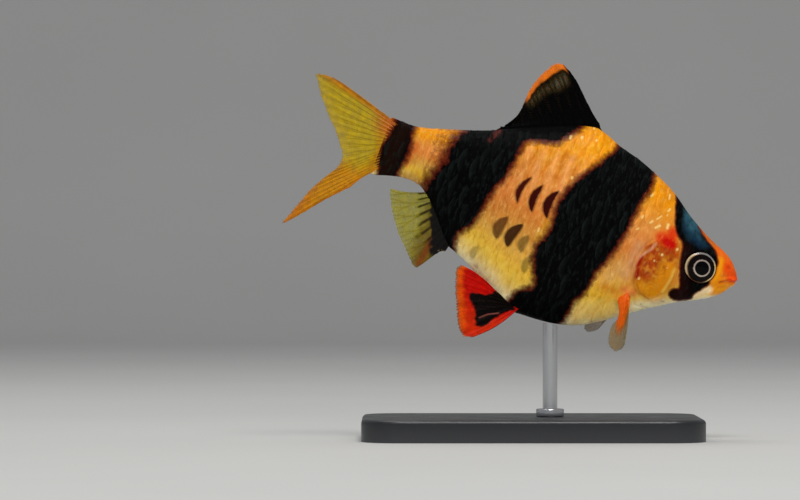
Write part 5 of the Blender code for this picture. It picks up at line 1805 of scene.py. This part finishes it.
    def paint_anal(
        self, points: Array, across: Array, reach: Array, ridge: Array, edge: Array
    ) -> tuple[Array, Array]:
        """Clear yellow-olive web, a black foot with streaks behind it and a brown front corner."""
        places = side_view(points)
        along, height = places.T
        jitter = grain(points, 0.5, 75)
        colour = plain("#9a9210", points)
        colour = blend(colour, "#74640c", 0.45 * ridge)
        front = ease(43.6, 41.4, along + 0.3 * jitter)
        colour = blend(colour, "#5e460a", 0.75 * front)
        brown = Dab("", ((40.3, -9.5), (40.9, -13.2)), 0.5, 0.5, 0.9).cover(places)
        colour = blend(colour, "#703408", brown)
        # The black foot ends along a slanting line, and streaks run on from it
        border = 42.9 + 0.367 * (height + 3.4)
        foot = ease(0.25, -0.25, along - border + 0.3 * jitter) * ease(-12.2, -11.2, height)
        beyond = along - border
        number = np.round(across * 1.6) - across * 1.6
        streak = ease(0.24, 0.1, np.abs(number)) * ease(2.2, 1.2, beyond + 0.5 * jitter)
        streak = streak * ease(-11.0, -9.5, height)
        dark = np.clip(np.maximum(0.85 * streak, foot), 0.0, 1.0)
        colour = blend(colour, "#090605", dark)
        lead = ease(0.5, 0.2, across) * ease(0.35, 0.8, reach)
        colour = blend(colour, "#a8905c", 0.5 * lead)
        alpha = 0.58 + 0.18 * ridge + 0.2 * front + 0.15 * brown + 0.6 * dark + 0.15 * lead
        return colour, alpha - 0.12 * ease(1.2, 0.0, edge)

    def paint_tail(
        self, points: Array, across: Array, reach: Array, ridge: Array, edge: Array
    ) -> tuple[Array, Array]:
        """Clear olive-amber web, with orange outer edges and a fuller orange lower lobe."""
        places = side_view(points)
        along, height = places.T
        last = len(self.upper_tail_rays) + len(self.lower_tail_rays) - 2
        lower = ease(-2.5, -5.5, height)
        upper = ease(1.0, 3.5, height)
        colour = plain("#b89c00", points)
        colour = blend(colour, "#cc8200", 0.85 * lower)
        colour = blend(colour, "#c87004", 0.8 * lower * ease(56.5, 59.5, along))
        colour = blend(colour, "#84640a", 0.25 * ridge)
        outer = ease(3.6, 2.2, np.minimum(across, last - across))
        colour = blend(colour, "#b86c04", 0.85 * outer * np.maximum(upper, lower))
        root = ease(0.32, 0.0, reach)
        colour = blend(colour, "#b5740e", 0.8 * root)
        colour = blend(colour, "#b3540f", 0.8 * root * ease(0.8, 2.6, height))
        pale = ease(1.2, 0.4, last - across) * ease(0.5, 0.2, reach)
        colour = blend(colour, "#d8b070", 0.6 * pale)
        alpha = 0.76 + 0.14 * ridge + 0.12 * outer + 0.2 * root + 0.08 * lower
        return colour, alpha - 0.15 * ease(2.2, 0.0, edge)

    def paint_pelvic(
        self, points: Array, across: Array, reach: Array, ridge: Array, edge: Array
    ) -> tuple[Array, Array]:
        """Red with two black wedges, an orange margin and a pale fringe."""
        places = side_view(points)
        jitter = grain(points, 0.4, 81)
        colour = plain("#b80400", points)
        colour = blend(colour, "#cc1806", 0.35 * ridge)
        front = ease(-14.5, -18.0, places[:, 1])
        colour = blend(colour, "#c82a04", 0.8 * front)
        cover = ease(0.2, -0.15, outline_depth(places, rounded(self.wedge)) + 0.14 * jitter)
        colour = blend(colour, "#060202", cover)
        colour = blend(colour, "#8c4a42", Dab("", self.wedge_gap, 0.07, 0.1, 0.9).cover(places))
        rim = ease(1.6, 0.5, edge + 0.25 * jitter)
        colour = blend(colour, "#e05404", 0.9 * rim * ease(1.0, 2.0, across))
        colour = blend(colour, "#b87a48", 0.7 * ease(0.45, 0.05, edge + 0.15 * jitter))
        alpha = 0.95 - 0.4 * ease(0.9, 0.0, edge) * (1 - 0.7 * ridge)
        return colour, alpha

    def paint_pectoral(
        self, points: Array, across: Array, reach: Array, ridge: Array, edge: Array
    ) -> tuple[Array, Array]:
        """An orange stalk that fades to a clear web."""
        fade = ease(0.8, 0.45, reach + 0.25 * ease(3.6, 0.8, across))
        colour = plain("#8c7020", points)
        colour = blend(colour, "#e05c08", fade)
        colour = blend(colour, "#8a6018", 0.4 * ridge * (1 - fade))
        alpha = 0.36 + 0.56 * fade + 0.15 * ridge
        return colour, alpha

    def build(self) -> None:
        """Makes every fin."""
        clear_web = Membrane("clear_web").material()
        dark_web = Membrane("dark_web", roughness=0.6, coat=0.01, specular=0.03).material()
        red_web = Membrane("red_web", roughness=0.5, coat=0.03, specular=0.06).material()
        fins = [(self.dorsal(), dark_web), (self.anal(), clear_web), (self.tail(), clear_web)]
        fins += [(self.pelvic(side), red_web) for side in Side]
        fins += [(self.pectoral(side), clear_web) for side in Side]
        for fin, material in fins:
            fin.build(self.body, self.pose, material)


@dataclass(frozen=True)
class Eyes:
    """Both eyes: a flattened ball with a pale outer ring, a black iris and a silver ring round the pupil."""

    pose: Pose
    eye: EyePlace
    body: Body
    segments: int = 144
    rings: int = 176
    pupil: float = 0.97
    ring_inner: float = 1.01
    ring_outer: float = 1.21
    ring_ahead: float = 0.03
    outer_ring: float = 2.05
    stretch: Pair = (0.99, 0.95)

    def paint(self, ball: Array) -> tuple[Array, Array]:
        """Colours the rings.

        Args:
            ball: Points of the ball before it is placed: z along the eye's axis, x forward, y up.

        Returns:
            Colours and gleam.
        """
        radius = np.hypot(ball[:, 0], ball[:, 1]) * self.eye.radius
        angle = np.arctan2(ball[:, 1], ball[:, 0])
        front = np.cos(angle)
        up = np.sin(angle)
        near = self.from_pupil(ball)
        rough = grain(ball * self.eye.radius, 0.12, 91)
        colour = plain("#080403", ball)
        colour = blend(colour, "#1c0c07", 0.4 * bell(radius - 1.6, 0.2) * ease(-0.3, 0.8, rough))
        inner = ease(self.ring_inner - 0.04, self.ring_inner + 0.05, near)
        inner = inner * ease(self.ring_outer + 0.05, self.ring_outer - 0.05, near + 0.03 * rough)
        silver = blend(plain("#a8988c", ball), "#c2b4a2", ease(0.2, -0.9, up))
        colour = blend(colour, silver, inner)
        half = 0.11 + 0.05 * ease(0.3, -0.7, front)
        half = half + (0.12 - half) * ease(0.5, 0.95, up)
        half = half + (0.05 - half) * ease(-0.5, -0.95, up)
        offset = radius - self.outer_ring + 0.02 * rough
        outer = ease(1.2, 0.75, np.abs(offset) / half)
        # Greyer towards the top of the outer ring: a painted reflection
        pale = blend(plain("#d8bc90", ball), "#8c8a88", ease(0.5, 0.9, up))
        pale = blend(pale, "#e8ca90", ease(0.3, 0.9, front) * ease(0.9, 0.3, up))
        pale = blend(pale, "#6c4a34", 0.85 * ease(0.15, -0.6, offset / half) * ease(0.2, -0.5, front))
        pale = blend(pale, "#6a4028", ease(-0.6, -0.95, up))
        colour = blend(colour, pale, outer)
        colour = blend(colour, "#010101", ease(self.pupil + 0.04, self.pupil - 0.03, near))
        colour = np.where(ball[:, 2:3] < -0.2, linear("#080403"), colour)
        return colour, np.clip(inner + outer, 0.0, 1.0)

    def from_pupil(self, ball: Array) -> Array:
        """How far each point lies from the pupil's middle, which sits a little ahead of the ball's."""
        return np.hypot(ball[:, 0] * self.eye.radius - self.ring_ahead, ball[:, 1] * self.eye.radius)

    def build(self, side: Side) -> None:
        """Makes one eye.

        Args:
            side: Which side.
        """
        bpy.ops.mesh.primitive_uv_sphere_add(segments=self.segments, ring_count=self.rings, radius=1.0)
        name = f"eye_{side.word}"
        obj = added(f"{name}_ball")
        ball = read_points(obj)
        radius = self.from_pupil(ball)
        lens = 0.05 * ease(self.pupil + 0.1, 0.3, radius) - 0.03 * bell(radius - 1.6, 0.25)
        lens += 0.02 * bell(radius - 1.13, 0.1)
        axis = self.eye.outward
        ahead = np.array([math.cos(self.eye.turn), math.sin(self.eye.turn), 0.0])
        above = np.array([0.0, 0.0, 1.0])
        depth = ball[:, 2] * self.eye.bulge + np.where(ball[:, 2] > 0, lens, 0.0)
        points = self.eye.centre - self.eye.setback * ahead + depth[:, None] * axis
        reach = ball[:, :2] * self.eye.radius * self.stretch
        points = points + reach[:, :1] * ahead + reach[:, 1:] * above
        colours, gleam = self.paint(ball)
        write_points(obj, self.pose.world(self.body.swing(points * side.flip)))
        write_marks(obj, colours)
        write_values(obj, GLEAM, gleam)
        outward_faces(obj)
        settle(obj, EyeGlaze(f"wet_{name}").material(), (name,))


@dataclass(frozen=True)
class Stand:
    """The display stand: base and rod with their finishes, and a turned collar at the rod's foot."""

    corner: float = 5.0 * MM
    edge: float = 0.6 * MM
    corner_steps: int = 20
    edge_steps: int = 6
    collar_height: float = 1.1 * MM
    collar_wall: float = 0.9 * MM
    collar_segments: int = 64
    collar_edge: float = 0.22 * MM
    collar_edge_steps: int = 4

    def dress(self, nodes: dict[str, bpy.types.Object]) -> None:
        """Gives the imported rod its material.

        Args:
            nodes: The CAD nodes by name.
        """
        rod = nodes["stand_rod"]
        rod.data.materials.clear()
        rod.data.materials.append(DrawnSteel().material())
        LOG.info("stand_rod: dressed")

    def base(self) -> None:
        """The base with round corners and a softened rim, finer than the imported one."""
        low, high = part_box("stand_base")
        bpy.ops.mesh.primitive_cube_add(size=1.0, location=(low + high) / 2)
        obj = added("stand_plate")
        obj.scale = high - low
        bpy.ops.object.transform_apply(location=True, rotation=True, scale=True)
        height = high.z - low.z
        self.soften(obj, lambda a, b: abs(a.z - b.z) > height / 2, self.corner, self.corner_steps)
        self.soften(obj, lambda a, b: min(a.z, b.z) > high.z - 1e-6, self.edge, self.edge_steps)
        settle(obj, SatinEnamel().material(), ("stand_base",))
        obj.data.set_sharp_from_angle(angle=math.radians(30))

    def pick(self, obj: bpy.types.Object, kind: str, test: Callable) -> None:
        """Selects the edges or faces that pass a test, and stays in edit mode.

        Args:
            obj: The piece.
            kind: "EDGE" or "FACE".
            test: Whether to select one.
        """
        only(obj)
        bpy.ops.object.mode_set(mode="EDIT")
        bpy.ops.mesh.select_mode(type=kind)
        bpy.ops.mesh.select_all(action="DESELECT")
        bpy.ops.object.mode_set(mode="OBJECT")
        for item in obj.data.edges if kind == "EDGE" else obj.data.polygons:
            item.select = test(item)
        bpy.ops.object.mode_set(mode="EDIT")

    def soften(self, obj: bpy.types.Object, test: Callable, width: float, steps: int) -> None:
        """Rounds the edges whose two ends pass a test.

        Args:
            obj: The piece.
            test: Whether to round an edge, from its ends.
            width: How wide.
            steps: In how many steps.
        """
        self.pick(obj, "EDGE", lambda edge: test(*(obj.data.vertices[index].co for index in edge.vertices)))
        bpy.ops.mesh.bevel(offset=width, segments=steps, affect="EDGES")
        bpy.ops.object.mode_set(mode="OBJECT")

    def collar(self) -> None:
        """A low ring round the rod, with soft edges."""
        rod_low, rod_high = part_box("stand_rod")
        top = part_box("stand_base")[1].z
        middle = (rod_low + rod_high) / 2
        inner = (rod_high.x - rod_low.x) / 2
        outer = inner + self.collar_wall
        place = (middle.x, middle.y, top + self.collar_height / 2)
        bpy.ops.mesh.primitive_cylinder_add(
            vertices=self.collar_segments, radius=outer, depth=self.collar_height, location=place
        )
        obj = added("stand_collar")
        bpy.ops.object.transform_apply(location=True, rotation=True, scale=True)
        self.pick(obj, "FACE", lambda face: abs(face.normal.z) > 0.9)
        bpy.ops.mesh.inset(thickness=outer - inner)
        bpy.ops.mesh.delete(type="FACE")
        bpy.ops.mesh.select_mode(type="EDGE")
        bpy.ops.mesh.select_all(action="DESELECT")
        bpy.ops.mesh.select_non_manifold(extend=False)
        bpy.ops.mesh.bridge_edge_loops()
        bpy.ops.object.mode_set(mode="OBJECT")
        outward_faces(obj)
        edges = obj.modifiers.new("edges", "BEVEL")
        edges.width = self.collar_edge
        edges.segments = self.collar_edge_steps
        edges.limit_method = "ANGLE"
        bpy.ops.object.modifier_apply(modifier=edges.name)
        settle(obj, DrawnSteel("collar_steel").material())


@dataclass(frozen=True)
class Studio:
    """The camera at the photograph's angle, a pale sweep and soft lamps."""

    frame_width_px: int = 800
    centre_px: Pair = (400.0, 250.0)
    snout_px: Pair = (737.0, 275.0)
    px_per_mm: float = 7.4
    lens: float = 200.0
    sensor: float = 36.0
    flank: float = -1.2 * MM
    aim: Triple = (0.0, 0.0, 0.025)
    paper_length: float = 2.2
    paper_width: float = 2.8
    paper_ahead: float = 1.0
    bend_start: float = 0.62
    bend: float = 0.25
    nearest: float = 0.005
    # Name, place, size, power, and whether wet surfaces mirror it
    lamps: tuple[tuple[str, Triple, float, float, bool], ...] = (
        ("key", (0.05, -0.19, 0.46), 0.2, 1.1, True),
        ("fill", (0.06, -0.58, 0.06), 0.45, 2.25, False),
        ("rim", (-0.05, 0.16, 0.44), 0.2, 0.45, True),
    )
    sky: tuple[float, ...] = (0.92, 0.95, 1.0, 1.0)
    sky_strength: float = 0.32

    def camera(self, pose: Pose) -> None:
        """Aims a level camera at the right flank, at the photograph's scale.

        Args:
            pose: How the fish stands; its snout tip is at the origin of fish space.
        """
        snout = pose.world(np.zeros(3))
        scale = self.px_per_mm / MM
        across = snout[0] + (self.centre_px[0] - self.snout_px[0]) / scale
        height = snout[2] - (self.centre_px[1] - self.snout_px[1]) / scale
        distance = self.frame_width_px / scale * self.lens / self.sensor
        data = bpy.data.cameras.new("camera")
        data.lens = self.lens
        data.sensor_width = self.sensor
        data.clip_start = self.nearest
        camera = bpy.data.objects.new("camera", data)
        camera.location = (across, self.flank - distance, height)
        camera.rotation_euler = (math.radians(90), 0.0, 0.0)
        bpy.context.scene.collection.objects.link(camera)
        bpy.context.scene.camera = camera

    def sweep(self) -> None:
        """A floor that curves up behind the model."""
        bpy.ops.mesh.primitive_grid_add(x_subdivisions=2, y_subdivisions=80, size=2.0)
        obj = added("paper_sweep")
        grid = read_points(obj)
        run = (grid[:, 1] + 1) / 2 * self.paper_length - self.paper_ahead
        arc = np.clip((run - self.bend_start) / self.bend, 0.0, math.pi / 2)
        beyond = np.maximum(run - self.bend_start - self.bend * math.pi / 2, 0.0)
        y = np.minimum(run, self.bend_start) + self.bend * np.sin(arc)
        z = self.bend * (1 - np.cos(arc)) + beyond
        write_points(obj, np.column_stack([grid[:, 0] * self.paper_width / 2, y, z]))
        obj.data.materials.append(PaleSweep().material())
        obj.data.shade_smooth()
        obj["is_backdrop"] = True

    def lamp(self, name: str, place: Triple, size: float, watts: float, mirrored: bool) -> None:
        """Adds a square soft lamp that looks at the fish.

        Args:
            name: The lamp's name.
            place: Where it hangs.
            size: Its side.
            watts: Its power.
            mirrored: Whether wet surfaces mirror it.
        """
        data = bpy.data.lights.new(name, "AREA")
        data.size = size
        data.energy = watts
        lamp = bpy.data.objects.new(name, data)
        lamp.location = place
        aim = Vector(self.aim) - Vector(place)
        lamp.rotation_euler = aim.to_track_quat("-Z", "Y").to_euler()
        lamp.visible_glossy = mirrored
        bpy.context.scene.collection.objects.link(lamp)

    def light(self) -> None:
        """Hangs the lamps and sets the world's soft light."""
        for lamp in self.lamps:
            self.lamp(*lamp)
        world = bpy.data.worlds.new("studio")
        world.use_nodes = True
        shade = world.node_tree.nodes["Background"]
        shade.inputs["Color"].default_value = self.sky
        shade.inputs["Strength"].default_value = self.sky_strength
        bpy.context.scene.world = world
        bpy.context.scene.view_settings.view_transform = "Standard"


def corners(box: Sequence[Sequence[float]]) -> list[list[float]]:
    """A box as plain lists of numbers."""
    return [[float(value) for value in corner] for corner in box]


def main() -> None:
    """Loads the frame, dresses the fish and its stand, and sets up the studio."""
    logging.basicConfig(level=logging.INFO, format="%(name)s: %(message)s")
    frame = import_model()
    packed = corners(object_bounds())
    body = Body()
    eye = EyePlace(body)
    pose = Pose(eye)
    studio = Studio()
    studio.camera(pose)
    pattern = Pattern(body)
    Skin(body, pose, eye, pattern).build()
    scales = Scales(body, pose, pattern)
    for side in Side:
        scales.build(side)
    FinMaker(body, pose).build()
    eyes = Eyes(pose, eye, body)
    for side in Side:
        eyes.build(side)
    stand = Stand()
    stand.dress(frame["nodes"])
    stand.base()
    stand.collar()
    studio.sweep()
    studio.light()
    {"cad": packed, "visual": corners(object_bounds())}


if __name__ == "__main__":
    main()
